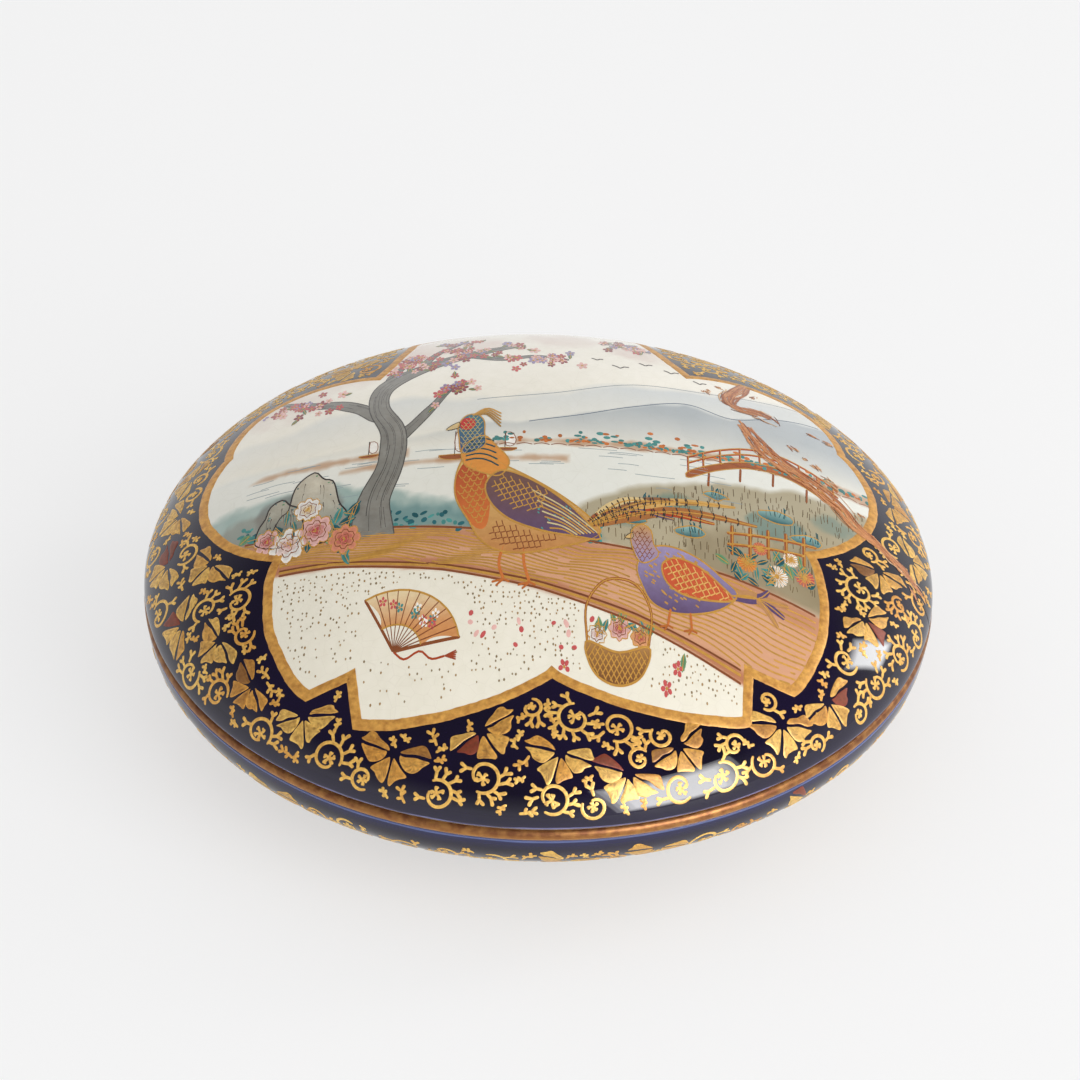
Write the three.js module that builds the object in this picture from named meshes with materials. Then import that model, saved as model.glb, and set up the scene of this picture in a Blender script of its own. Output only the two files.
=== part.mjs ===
// A round porcelain box with a lift-off lid, about 120 mm across: a shallow footed bowl whose upstanding inner
// flange centres a domed lid. Millimetres, +Z up, origin at the centre of the foot ring's underside.
import * as THREE from "three";

// Driving dimensions
const RIM_RADIUS = 60; // the widest circle, which the lid's edge and the bowl's gilded lip share
const SEAM_HEIGHT = 18.8; // table to the top of the bowl's lip
const DOME_RISE = 21.1; // lid's widest circle to its crown
const SHELL_RADIUS = 59.87; // bowl's wall just under the lip
const SHELL_DEPTH = 16.5; // lip to the lowest point of the wall's outer curve
const WALL = 3.2; // thickness of the fired wall
const REST_GAP = 0.3; // between the lid's ground edge and the bowl's seat

// The dome and the wall swell a little more squarely than ellipses: |r / R| ** side + |z / H| ** rise = 1
const DOME_POWERS = { side: 1.98, rise: 1.72 };
const SHELL_POWERS = { side: 1.95, rise: 2.44 };

// Foot ring
const FOOT_OUTER = 34;
const FOOT_INNER = 30.4;
const FOOT_CHAMFER = 0.7;
const FOOT_WELL = 2.6; // depth of the glazed recess inside the ring

// Locating flange
const FLANGE_OUTER = 54;
const FLANGE_THICKNESS = 2.2;
const FLANGE_HEIGHT = 4.6;

// Edges
const LIP_HEIGHT = 1.7; // the gilded lip, from the wall to the seam
const LIP_BULGE = 0.7; // depth of the lip's rounded profile
const LID_EDGE_ROUND = 0.7; // rounded lower edge of the lid
const LID_SEAT_INNER = 54.7; // inside of the lid's ground edge, clear of the flange

const ROUND_STEPS = 72;

const PORCELAIN_BLUE = new THREE.MeshStandardMaterial({
  color: 0x17123c,
  roughness: 0.12,
  metalness: 0,
});
const PORCELAIN_LID = new THREE.MeshStandardMaterial({
  color: 0xe6dfc8,
  roughness: 0.14,
  metalness: 0,
});

// Points of an ellipse arc from angle a to b, in degrees from the horizontal, about a centre on the profile plane.
function arc(centreR, centreZ, radiusR, radiusZ, a, b, steps) {
  const points = [];
  for (let i = 0; i <= steps; i += 1) {
    const angle = THREE.MathUtils.degToRad(a + ((b - a) * i) / steps);
    points.push([
      centreR + radiusR * Math.cos(angle),
      centreZ + radiusZ * Math.sin(angle),
    ]);
  }
  return points;
}

// Points of a swelling curve between the widest circle (0 degrees) and the axis (90); a negative rise goes down.
function swell(centreZ, radius, rise, powers, a, b, steps) {
  return arc(0, 0, 1, 1, a, b, steps).map(([cos, sin]) => [
    radius * Math.max(cos, 0) ** (2 / powers.side),
    centreZ + rise * Math.max(sin, 0) ** (2 / powers.rise),
  ]);
}

// A profile of [radius, height] pairs, counter-clockwise, turned into a closed solid of revolution about Z.
function turned(profile) {
  const points = profile.map(([r, z]) => new THREE.Vector2(r, z));
  return new THREE.LatheGeometry(points, ROUND_STEPS).rotateX(Math.PI / 2);
}

// The bowl: foot ring, swelling wall, gilded lip, flat seat, upstanding flange and hollow inside, in one firing.
function bowlProfile() {
  const lipBottom = SEAM_HEIGHT - LIP_HEIGHT;
  const footShare = (FOOT_OUTER / SHELL_RADIUS) ** (SHELL_POWERS.side / 2);
  const footAngle = THREE.MathUtils.radToDeg(Math.acos(footShare));
  const floor = lipBottom - SHELL_DEPTH + WALL;
  return [
    [0, FOOT_WELL],
    [FOOT_INNER - FOOT_CHAMFER, FOOT_WELL],
    [FOOT_INNER, FOOT_WELL - FOOT_CHAMFER],
    [FOOT_INNER + FOOT_CHAMFER, 0],
    [FOOT_OUTER - FOOT_CHAMFER, 0],
    [FOOT_OUTER, FOOT_CHAMFER],
    ...swell(
      lipBottom,
      SHELL_RADIUS,
      -SHELL_DEPTH,
      SHELL_POWERS,
      footAngle,
      0,
      14,
    ),
    ...arc(
      RIM_RADIUS - LIP_BULGE,
      lipBottom + LIP_HEIGHT / 2,
      LIP_BULGE,
      LIP_HEIGHT / 2,
      -45,
      90,
      4,
    ),
    [FLANGE_OUTER, SEAM_HEIGHT],
    ...arc(
      FLANGE_OUTER - FLANGE_THICKNESS / 2,
      SEAM_HEIGHT + FLANGE_HEIGHT - FLANGE_THICKNESS / 2,
      FLANGE_THICKNESS / 2,
      FLANGE_THICKNESS / 2,
      0,
      180,
      4,
    ),
    ...swell(
      SEAM_HEIGHT,
      FLANGE_OUTER - FLANGE_THICKNESS,
      floor - SEAM_HEIGHT,
      SHELL_POWERS,
      0,
      90,
      11,
    ),
  ];
}

// The lid: a dome with its widest circle at a rounded lower edge, ground flat where it rests, hollow beneath.
function lidProfile() {
  const edge = SEAM_HEIGHT + REST_GAP;
  const widest = edge + LID_EDGE_ROUND;
  return [
    [LID_SEAT_INNER, edge],
    ...arc(
      RIM_RADIUS - LID_EDGE_ROUND,
      widest,
      LID_EDGE_ROUND,
      LID_EDGE_ROUND,
      -90,
      -30,
      2,
    ),
    ...swell(widest, RIM_RADIUS, DOME_RISE, DOME_POWERS, 0, 90, 20),
    ...swell(
      widest,
      RIM_RADIUS - WALL,
      DOME_RISE - WALL,
      DOME_POWERS,
      90,
      0,
      12,
    ),
    [LID_SEAT_INNER, edge],
  ];
}

function piece(name, geometry, material) {
  const mesh = new THREE.Mesh(geometry, material);
  mesh.name = name;
  return mesh;
}

const box = new THREE.Group();
box.add(
  piece("bowl", turned(bowlProfile()), PORCELAIN_BLUE),
  piece("lid", turned(lidProfile()), PORCELAIN_LID),
);

export default box;
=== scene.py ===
import math

import bpy
import numpy as np
from mathutils import Matrix, Vector
from mathutils.geometry import delaunay_2d_cdt


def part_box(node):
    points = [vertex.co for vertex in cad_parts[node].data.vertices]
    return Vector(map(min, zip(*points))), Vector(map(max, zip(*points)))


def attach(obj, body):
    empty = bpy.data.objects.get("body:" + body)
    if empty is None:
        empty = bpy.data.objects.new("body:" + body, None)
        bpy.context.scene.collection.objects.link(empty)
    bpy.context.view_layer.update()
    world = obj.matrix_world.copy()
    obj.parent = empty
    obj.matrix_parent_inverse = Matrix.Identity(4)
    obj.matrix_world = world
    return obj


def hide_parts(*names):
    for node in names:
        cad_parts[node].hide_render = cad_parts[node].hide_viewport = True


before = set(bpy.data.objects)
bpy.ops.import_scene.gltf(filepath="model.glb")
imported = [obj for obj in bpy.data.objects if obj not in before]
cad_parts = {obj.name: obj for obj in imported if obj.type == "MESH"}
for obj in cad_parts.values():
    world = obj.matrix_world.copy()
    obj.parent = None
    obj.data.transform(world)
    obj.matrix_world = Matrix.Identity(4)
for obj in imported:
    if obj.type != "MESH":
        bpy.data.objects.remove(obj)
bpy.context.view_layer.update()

# The camera: a long lens about 37 degrees above the table, leaning a little to the right and aimed at
# the middle of the lid's widest circle. The image is 1080 pixels square.
VIEW_ELEVATION = math.radians(36.67)
VIEW_ROLL = math.radians(1.29)
VIEW_DISTANCE = 0.6
FOCAL_PIXELS = 3937
IMAGE_PIXELS = 1080
AIM_PIXEL_X = 538.8
AIM_PIXEL_Y = 572.4
AIM = Vector((0, 0, 0.0198))

camera_data = bpy.data.cameras.new("camera")
camera = bpy.data.objects.new("camera", camera_data)
bpy.context.scene.collection.objects.link(camera)
bpy.context.scene.camera = camera
camera_data.lens = FOCAL_PIXELS * camera_data.sensor_width / IMAGE_PIXELS
camera_data.shift_x = (IMAGE_PIXELS / 2 - AIM_PIXEL_X) / IMAGE_PIXELS
camera_data.shift_y = (AIM_PIXEL_Y - IMAGE_PIXELS / 2) / IMAGE_PIXELS
camera_data.clip_start = 0.01
camera_data.clip_end = 30
backward = Vector((0, -math.cos(VIEW_ELEVATION), math.sin(VIEW_ELEVATION)))
rightward = Vector((1, 0, 0))
upward = backward.cross(rightward)
camera_right = rightward * math.cos(VIEW_ROLL) + upward * math.sin(VIEW_ROLL)
camera_up = upward * math.cos(VIEW_ROLL) - rightward * math.sin(VIEW_ROLL)
facing = Matrix((camera_right, camera_up, backward)).transposed().to_4x4()
camera.matrix_world = Matrix.Translation(AIM + backward * VIEW_DISTANCE) @ facing


# The bowl: fired clay, thrown, with a turned foot ring. Cobalt glaze covers the outside and runs thin and
# pale under the lip, cream glaze lines the inside and the well of the foot, and the foot ring, the lip's
# top and the flange are wiped bare.
MM = 0.001
ORNAMENT_DEPTH = 0.1  # the glaze lies this far inside the frame's shape, with room for the gold on it
RIM_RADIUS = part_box("lid")[1].x / MM - ORNAMENT_DEPTH
SEAM_HEIGHT = 18.8
SHELL_RADIUS = 59.87 - ORNAMENT_DEPTH
SHELL_DEPTH = 16.5 - ORNAMENT_DEPTH
SHELL_POWERS = (1.95, 2.44)
WALL = 3.2
LIP_HEIGHT = 1.7
LIP_BULGE = 0.7
FOOT_OUTER = 34
FOOT_INNER = 30.4
FOOT_ROUND = 0.7
FOOT_WELL = 2.6
FLANGE_OUTER = 54
FLANGE_THICKNESS = 2.2
FLANGE_HEIGHT = 4.6
GLAZE_IOR = 1.54
TURNED_SIDES = 288
ON_AXIS = 1e-6  # a radius below this is a point on the axis
SHARP_ANGLE = math.radians(50)


def srgb(red, green, blue):
    """A colour as a shader holds it, from the 0 to 255 numbers that a screen shows."""
    levels = (red / 255, green / 255, blue / 255)
    return tuple(v / 12.92 if v <= 0.04045 else ((v + 0.055) / 1.055) ** 2.4 for v in levels)


class Wire:
    """A socket of a shader node. Sums and products of wires and numbers add their Math nodes."""

    def __init__(self, tree, socket=None):
        self.tree, self.socket = tree, socket

    def node(self, kind, settings=None, sockets=None, output=0):
        made = self.tree.nodes.new(kind)
        for name, value in (settings or {}).items():
            setattr(made, name, value)
        for name, value in (sockets or {}).items():
            if isinstance(value, Wire):
                self.tree.links.new(value.socket, made.inputs[name])
            else:
                made.inputs[name].default_value = value
        return Wire(self.tree, made.outputs[output])

    def beside(self, name):
        """Another output of this wire's node."""
        return Wire(self.tree, self.socket.node.outputs[name])

    def maths(self, operation, first, second=0.0, clamped=False):
        settings = {"operation": operation, "use_clamp": clamped}
        return self.node("ShaderNodeMath", settings, {0: first, 1: second})

    def __add__(self, other):
        return self.maths("ADD", self, other)

    def __mul__(self, other):
        return self.maths("MULTIPLY", self, other)

    def __sub__(self, other):
        return self.maths("SUBTRACT", self, other)

    def __rsub__(self, other):
        return self.maths("SUBTRACT", other, self)

    __radd__, __rmul__ = __add__, __mul__

    def between(self, low, high):
        """0 below low, 1 above high, and even between them; low may be the larger."""
        return self.maths("MULTIPLY", self - low, 1 / (high - low), clamped=True)

    def mix(self, dark, light):
        """The colour dark where this is 0 and light where it is 1."""
        settings = {"data_type": "RGBA"}
        sides = [(*c, 1) if isinstance(c, tuple) else c for c in (dark, light)]
        return self.node("ShaderNodeMix", settings, {0: self, 6: sides[0], 7: sides[1]}, output=2)

    def noise(self, size, detail=2.0, rough=0.5):
        """Soft noise on a place in metres, with lumps of that size in millimetres."""
        sockets = {"Vector": self, "Scale": 1 / (size * MM), "Detail": detail, "Roughness": rough}
        return self.node("ShaderNodeTexNoise", {}, sockets)

    def bump(self, height, strength, distance):
        """A normal that height, a wire, roughens; distance is in millimetres."""
        sockets = {"Height": height, "Strength": strength, "Distance": distance * MM}
        return self.node("ShaderNodeBump", {}, sockets)

    def into(self, shader, name):
        self.tree.links.new(self.socket, shader.inputs[name])


def finish(name, roughness, metallic=0.0):
    """A new material, its shader, and a wire of places on the object."""
    material = bpy.data.materials.new(name)
    material.use_nodes = True
    shader = material.node_tree.nodes["Principled BSDF"]
    shader.inputs["Roughness"].default_value = roughness
    shader.inputs["Metallic"].default_value = metallic
    shader.inputs["IOR"].default_value = GLAZE_IOR
    return material, shader, Wire(material.node_tree).node("ShaderNodeTexCoord", output=3)


def cobalt_glaze(name, edge_height, side, edge_colour, edge_width, wash_colour, wash_width):
    """Deep cobalt glaze, paler in a wash and a line at an edge; side is 1 if it lies above the edge."""
    material, shader, place = finish(name, 0.04)
    height = place.node("ShaderNodeSeparateXYZ", {}, {0: place}, output=2)
    deep = place.noise(22, 2).between(0.35, 0.65).mix(srgb(12, 7, 25), srgb(20, 10, 41))
    wander = place.noise(7, 2) * (0.8 * edge_width) - 0.4 * edge_width
    from_edge = (height - edge_height * MM) * (side / MM) + wander
    washed = from_edge.between(wash_width, 0.15 * wash_width).mix(deep, wash_colour)
    line = from_edge.between(edge_width, 0.6 * edge_width)
    line.mix(washed, edge_colour).into(shader, "Base Color")
    place.bump(place.noise(3, 1), 0.12, 0.02).into(shader, "Normal")
    return material


def cream_glaze():
    """Clear glaze over an ivory body, with the fine crackle that such glazes have."""
    material, shader, place = finish("cream_glaze", 0.12)
    cells = {"Vector": place, "Scale": 1 / (1.8 * MM)}
    cracks = place.node("ShaderNodeTexVoronoi", {"feature": "DISTANCE_TO_EDGE"}, cells)
    stain = cracks.between(0.03, 0.0) * 0.35
    body = place.noise(9, 3).mix(srgb(226, 219, 199), srgb(239, 234, 218))
    stain.mix(body, srgb(158, 132, 96)).into(shader, "Base Color")
    place.bump(place.noise(3, 1), 0.2, 0.02).into(shader, "Normal")
    return material


def bare_porcelain():
    """Fired clay without glaze, a little grey from use where it stands."""
    material, shader, place = finish("bare_porcelain", 0.7)
    place.noise(3, 4).mix(srgb(196, 184, 164), srgb(228, 220, 204)).into(shader, "Base Color")
    place.bump(place.noise(0.5, 2), 0.4, 0.03).into(shader, "Normal")
    return material


def arc(centre, radii, start, end, steps):
    """Points of an ellipse arc in a plane, from one angle to another in degrees."""
    angles = np.radians(np.linspace(start, end, steps + 1))
    return [(centre[0] + radii[0] * math.cos(a), centre[1] + radii[1] * math.sin(a)) for a in angles]


def swell(centre_height, radius, rise, powers, start, end, steps):
    """Points of a swelling quarter curve: 0 degrees is its widest circle and 90 the axis."""
    across, up = 2 / powers[0], 2 / powers[1]
    unit = arc((0, 0), (1, 1), start, end, steps)
    return [(radius * max(c, 0) ** across, centre_height + rise * max(s, 0) ** up) for c, s in unit]


def new_piece(name, points, faces, body):
    """A smooth mesh piece from points in millimetres, riding on a body."""
    mesh = bpy.data.meshes.new(name)
    mesh.from_pydata((np.asarray(points) * MM).tolist(), [], faces)
    mesh.polygons.foreach_set("use_smooth", [True] * len(faces))
    piece = bpy.data.objects.new(name, mesh)
    bpy.context.scene.collection.objects.link(piece)
    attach(piece, body)
    return piece


def turned(name, spans, body):
    """A turned solid; a span is a material and its stretch of the profile, as (radius, height) points."""
    rings, slots = [], []
    for index, (_, stretch) in enumerate(spans):
        rings += stretch if index == 0 else stretch[1:]
        slots += [index] * (len(rings) - len(slots))
    angles = np.linspace(0, 2 * math.pi, TURNED_SIDES, endpoint=False)
    points, firsts = [], []
    for radius, height in rings:
        firsts.append(len(points))
        turns = angles if radius > ON_AXIS else angles[:1]
        points += [(radius * math.cos(a), radius * math.sin(a), height) for a in turns]
    faces, face_slots = [], []
    for i in range(len(rings) - 1):
        low, high = firsts[i], firsts[i + 1]
        for k in range(TURNED_SIDES):
            after = (k + 1) % TURNED_SIDES
            if rings[i][0] <= ON_AXIS:
                faces.append((low, high + after, high + k))
            elif rings[i + 1][0] <= ON_AXIS:
                faces.append((low + k, low + after, high))
            else:
                faces.append((low + k, low + after, high + after, high + k))
            face_slots.append(slots[i + 1])
    piece = new_piece(name, points, faces, body)
    for material, _ in spans:
        piece.data.materials.append(material)
    piece.data.polygons.foreach_set("material_index", face_slots)
    piece.data.set_sharp_from_angle(angle=SHARP_ANGLE)
    return piece


CREAM_GLAZE = cream_glaze()
BARE_PORCELAIN = bare_porcelain()
LIP_BOTTOM = SEAM_HEIGHT - LIP_HEIGHT
bowl_line, bowl_wash = srgb(84, 98, 148), srgb(28, 28, 72)
bowl_cobalt = cobalt_glaze("bowl_cobalt_glaze", LIP_BOTTOM, -1, bowl_line, 0.3, bowl_wash, 1.8)
foot_angle = math.degrees(math.acos((FOOT_OUTER / SHELL_RADIUS) ** (SHELL_POWERS[0] / 2)))
bowl_outside = swell(LIP_BOTTOM, SHELL_RADIUS, -SHELL_DEPTH, SHELL_POWERS, foot_angle, 0, 48)
lip_radii = (LIP_BULGE, LIP_HEIGHT / 2)
lip_round = arc((RIM_RADIUS - LIP_BULGE, LIP_BOTTOM + LIP_HEIGHT / 2), lip_radii, -60, 90, 12)
flange_middle = FLANGE_OUTER - FLANGE_THICKNESS / 2
flange_top = SEAM_HEIGHT + FLANGE_HEIGHT - FLANGE_THICKNESS / 2
flange_round = arc((flange_middle, flange_top), (FLANGE_THICKNESS / 2, FLANGE_THICKNESS / 2), 0, 180, 10)
inside_radius = FLANGE_OUTER - FLANGE_THICKNESS
inside_drop = LIP_BOTTOM - SHELL_DEPTH + WALL - SEAM_HEIGHT
bowl_inside = swell(SEAM_HEIGHT, inside_radius, inside_drop, SHELL_POWERS, 0, 90, 40)
foot_recess = [(0, FOOT_WELL), (FOOT_INNER - FOOT_ROUND, FOOT_WELL), (FOOT_INNER, FOOT_WELL - FOOT_ROUND)]
foot_ring = [
    foot_recess[-1],
    (FOOT_INNER + FOOT_ROUND, 0),
    (FOOT_OUTER - FOOT_ROUND, 0),
    (FOOT_OUTER, FOOT_ROUND),
]
bowl = turned(
    "bowl_glazed",
    [
        (CREAM_GLAZE, foot_recess),
        (BARE_PORCELAIN, foot_ring),
        (bowl_cobalt, [foot_ring[-1], *bowl_outside, *lip_round[:3]]),
        (BARE_PORCELAIN, [*lip_round[2:], (FLANGE_OUTER, SEAM_HEIGHT), *flange_round]),
        (CREAM_GLAZE, [flange_round[-1], *bowl_inside]),
    ],
    "bowl",
)
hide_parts("bowl")


# The gilt lip: a band of gold brushed round the bowl's lip. Its colour is painted darker brown towards
# the seam as the shadow under the lid's edge, and it shows a brighter line where it ends over the blue.
lip_gold, lip_shader, lip_place = finish("lip_gold", 0.42, 0.55)
lip_height = lip_place.node("ShaderNodeSeparateXYZ", {}, {0: lip_place}, output=2) * (1 / MM)
lip_rise = lip_height - LIP_BOTTOM + lip_place.noise(2.5, 4) * 0.5
# painted shadow: the gold turns dark brown towards the seam, where the lid's edge shades it
lip_shaded_body = lip_rise.between(0.6, 1.4).mix(srgb(170, 112, 52), srgb(112, 64, 28))
lip_grain = lip_place.noise(1.4, 4).between(0.4, 0.66)
lip_mottled = (lip_grain * 0.35).mix(lip_shaded_body, srgb(204, 150, 78))
lip_line = lip_rise.between(0.72, 0.5)
lip_line.mix(lip_mottled, srgb(216, 164, 84)).into(lip_shader, "Base Color")
lip_place.bump(lip_place.noise(0.6, 3), 0.5, 0.03).into(lip_shader, "Normal")

GILDING_LIFT = 0.05
band_radii = (LIP_BULGE + GILDING_LIFT, LIP_HEIGHT / 2 + GILDING_LIFT)
band_round = arc((RIM_RADIUS - LIP_BULGE, LIP_BOTTOM + LIP_HEIGHT / 2), band_radii, -62, 84, 14)
turned("lip_gilding", [(lip_gold, band_round)], "bowl")


# The bowl's gilt sprays: three-leafed fans and curled tendrils, brushed in gold all over the blue of the
# bowl and fired on. The same hand and the same motifs fill the blue of the lid further down.
BRUSH_FLOOR = 0.012  # heights over the glaze: the edge of a stroke,
TWIG_LIFT = 0.055  # the middle of a thin stroke
FAN_LIFT = 0.06  # and the middle of a leaflet
TINY = 1e-9


def flow(points, steps=6):
    """A smooth open curve through points (Catmull-Rom), with that many steps to a stretch."""
    points = np.asarray(points, float)
    padded = np.vstack((2 * points[0] - points[1], points, 2 * points[-1] - points[-2]))
    share = np.linspace(0, 1, steps, endpoint=False)[:, None]
    curve = []
    for a, b, c, d in zip(padded, padded[1:], padded[2:], padded[3:]):
        bent = (2 * a - 5 * b + 4 * c - d) * share**2 + (3 * b - a - 3 * c + d) * share**3
        curve.append((2 * b + (c - a) * share + bent) / 2)
    return np.vstack((*curve, points[-1:]))


def ring_flow(points, steps=6):
    """A smooth closed path through points."""
    points = [tuple(point) for point in points]
    return flow(points[-2:] + points + points[:2], steps)[2 * steps:(len(points) + 2) * steps]


class Skin:
    """The outside of a turned body. A place on it is a turn in radians and a way along its profile."""

    def __init__(self, profile):
        self.profile = np.asarray(profile, float)
        lengths = np.hypot(*np.diff(self.profile, axis=0).T)
        self.along = np.concatenate(([0.0], np.cumsum(lengths)))
        slope = np.gradient(self.profile, self.along, axis=0)
        self.slope = slope / np.hypot(*slope.T)[:, None]

    def radius(self, along):
        return np.interp(along, self.along, self.profile[:, 0])

    def outward(self, turn, along):
        across = np.interp(along, self.along, self.slope[:, 0])
        down = np.interp(along, self.along, self.slope[:, 1])
        return np.stack((-down * np.cos(turn), -down * np.sin(turn), across), 1)

    def lifted(self, turn, along, lift):
        radius, height = self.radius(along), np.interp(along, self.along, self.profile[:, 1])
        foot = np.stack((radius * np.cos(turn), radius * np.sin(turn), height), 1)
        return foot + self.outward(turn, along) * np.asarray(lift)[:, None]

    def chart_at(self, turn, along, heading):
        """A flat chart about a place; its second axis points down the profile, turned by heading."""
        c, s = math.cos(math.radians(heading)), math.sin(math.radians(heading))

        def chart(points):
            points = np.asarray(points, float)
            down = along + points[:, 1] * c - points[:, 0] * s
            aside = points[:, 0] * c + points[:, 1] * s
            return np.stack((turn + aside / np.maximum(self.radius(down), 1), down), 1)

        return chart


class Brushwork:
    """Raised strokes and patches of gold or enamel on a skin, gathered into one thin mesh."""

    def __init__(self, skin):
        self.skin = skin
        self.places, self.lifts, self.tints, self.faces = [], [], [], []
        self.count = 0

    def add(self, places, lifts, tints, faces):
        size = len(places)
        tints = np.asarray(tints, float)
        if tints.ndim == 1:
            tints = np.tile(tints, (size, 1))
        self.places.append(places)
        self.lifts.append(np.broadcast_to(lifts, (size,)))
        self.tints.append(tints)
        self.faces += [tuple(i + self.count for i in face) for face in faces]
        self.count += size

    def stroke(self, chart, path, width, tint, lift=TWIG_LIFT, base=BRUSH_FLOOR, step=0.45):
        """A brush line along a path, with round ends; width is a number, or one for each point."""
        path = np.asarray(path, float)
        gone = np.concatenate(([0.0], np.cumsum(np.hypot(*np.diff(path, axis=0).T))))
        widths = np.broadcast_to(np.asarray(width, float), (len(path),))
        first, last, total = widths[0] / 2, widths[-1] / 2, gone[-1]
        middle = np.linspace(first, total - last, max(2, int((total - first - last) / step) + 2))
        if total <= first + last:
            middle = np.array([total / 2])
        stations = np.unique(np.concatenate(([0.0, 0.3 * first], middle, [total - 0.3 * last, total])))
        line = np.stack([np.interp(stations, gone, path[:, k]) for k in (0, 1)], 1)
        along = np.gradient(line, stations, axis=0)
        along /= np.maximum(np.hypot(*along.T), TINY)[:, None]
        side = np.stack((-along[:, 1], along[:, 0]), 1)
        near_end = np.minimum(stations / max(first, TINY), (total - stations) / max(last, TINY))
        rounding = np.sqrt(np.clip(1 - (1 - np.clip(near_end, 0, 1)) ** 2, 0.02, 1))
        half = np.interp(stations, gone, widths)[:, None] / 2 * rounding[:, None]
        rows = np.stack((line - side * half, line, line + side * half), 1).reshape(-1, 2)
        lifts = np.tile((base, lift, base), len(stations))
        faces = []
        for i in range(len(stations) - 1):
            a, b = 3 * i, 3 * i + 3
            faces += [(a, b, b + 1, a + 1), (a + 1, b + 1, b + 2, a + 2)]
        self.add(chart(rows), lifts, tint, faces)

    def patch(self, chart, outline, tint, heart=None, lift=FAN_LIFT, base=BRUSH_FLOOR, stain=None):
        """A crowned blob inside an outline that its middle can see all of.

        Heart is the tint of its middle. Stain is a tint that runs unevenly into all but its edge, and a
        random generator.
        """
        outline = np.asarray(outline, float)
        middle = outline.mean(0)
        size = len(outline)
        shares = (1.0, 0.84, 0.4) if stain is None else (1.0, 0.86, 0.62, 0.34)
        inner = len(shares) - 2
        rings = [middle + (outline - middle) * share for share in shares] + [middle[None]]
        lifts = np.repeat([base, 0.85 * lift] + [lift] * (inner + 1), [size] * (inner + 2) + [1])
        tint, heart = np.asarray(tint), np.asarray(tint if heart is None else heart)
        tints = np.vstack((np.tile(tint, (2 * size, 1)), np.tile(heart, (inner * size + 1, 1))))
        if stain is not None:
            share = stain[1].beta(0.4, 1.6, (len(tints), 1)) * 0.8
            share[:size] = 0
            tints = tints + (stain[0] - tints) * share
        faces = []
        for k in range(size):
            after = (k + 1) % size
            for r in range(inner + 1):
                faces.append((r * size + k, r * size + after, (r + 1) * size + after, (r + 1) * size + k))
            faces.append(((inner + 1) * size + k, (inner + 1) * size + after, (inner + 2) * size))
        self.add(chart(np.vstack(rings)), lifts, tints, faces)

    def fill(self, chart, outline, tint, lift, grain):
        """A flat wash inside any outline; tint is a colour, or gives one for each of some places."""
        outline = np.asarray(outline, float)
        low, high = outline.min(0), outline.max(0)
        counts = np.maximum(((high - low) / grain).astype(int), 1)
        spans = (np.linspace(a, b, n + 1) for a, b, n in zip(low, high, counts))
        grid = np.stack(np.meshgrid(*spans), -1).reshape(-1, 2)
        grid = grid[depth_inside(outline, grid) > 0.35 * grain]
        points = [Vector(p) for p in np.vstack((outline, grid))]
        loop = list(range(len(outline)))
        made = delaunay_2d_cdt(points, [], [loop], 1, 1e-4)
        places = np.array([tuple(v) for v in made[0]])
        tints = tint(places) if callable(tint) else tint
        self.add(chart(places), lift, tints, [tuple(face) for face in made[2]])

    def finish(self, name, body, slot, material):
        places, lifts = np.vstack(self.places), np.concatenate(self.lifts)
        points = self.skin.lifted(places[:, 0], places[:, 1], lifts)
        outward = self.skin.outward(places[:, 0], places[:, 1])
        first, second, last = (np.array([face[k] for face in self.faces]) for k in (0, 1, -1))
        across = np.cross(points[second] - points[first], points[last] - points[first])
        faces_out = (across * outward[first]).sum(1) > 0
        faces = [face if out else face[::-1] for face, out in zip(self.faces, faces_out)]
        piece = new_piece(name, points, faces, body)
        tints = np.concatenate([np.vstack(self.tints), np.ones((len(points), 1))], 1)
        layer = piece.data.attributes.new("tint", "FLOAT_COLOR", "POINT")
        layer.data.foreach_set("color", tints.ravel())
        piece.data.materials.append(material)
        return piece


def depth_inside(outline, places, batch=4000):
    """How far places lie inside a closed outline; outside it the distance is negative."""
    outline, places = np.asarray(outline, float), np.asarray(places, float)
    edge = np.roll(outline, -1, 0) - outline
    length = np.maximum((edge * edge).sum(1), TINY)
    climb = np.where(edge[:, 1] == 0, TINY, edge[:, 1])
    depths = []
    for start in range(0, len(places), batch):
        some = places[start:start + batch, None]
        reach = some - outline
        share = np.clip((reach * edge).sum(2) / length, 0, 1)
        apart = reach - share[..., None] * edge
        nearest = np.sqrt((apart * apart).sum(2).min(1))
        level = (reach[..., 1] >= 0) != (reach[..., 1] >= edge[:, 1])
        crossings = (level & (reach[..., 0] < reach[..., 1] * edge[:, 0] / climb)).sum(1)
        depths.append(np.where(crossings % 2 == 1, nearest, -nearest))
    return np.concatenate(depths)


def painted(name, roughness, metallic, grain, depth, relief):
    """A paint with the brushwork's own tints, mottled by depth in patches of a grain in millimetres."""
    material, shader, place = finish(name, roughness, metallic)
    tint = place.node("ShaderNodeAttribute", {"attribute_name": "tint"})
    shade = place.noise(grain, 4, 0.6).between(0.3, 0.7)
    multiply = {"data_type": "RGBA", "blend_type": "MULTIPLY"}
    dark = tint.node("ShaderNodeMix", multiply, {0: depth, 6: tint, 7: (0.45, 0.3, 0.18, 1)}, output=2)
    shade.mix(dark, tint).into(shader, "Base Color")
    place.bump(place.noise(grain * 0.6, 3), 0.5, relief).into(shader, "Normal")
    return material


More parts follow.
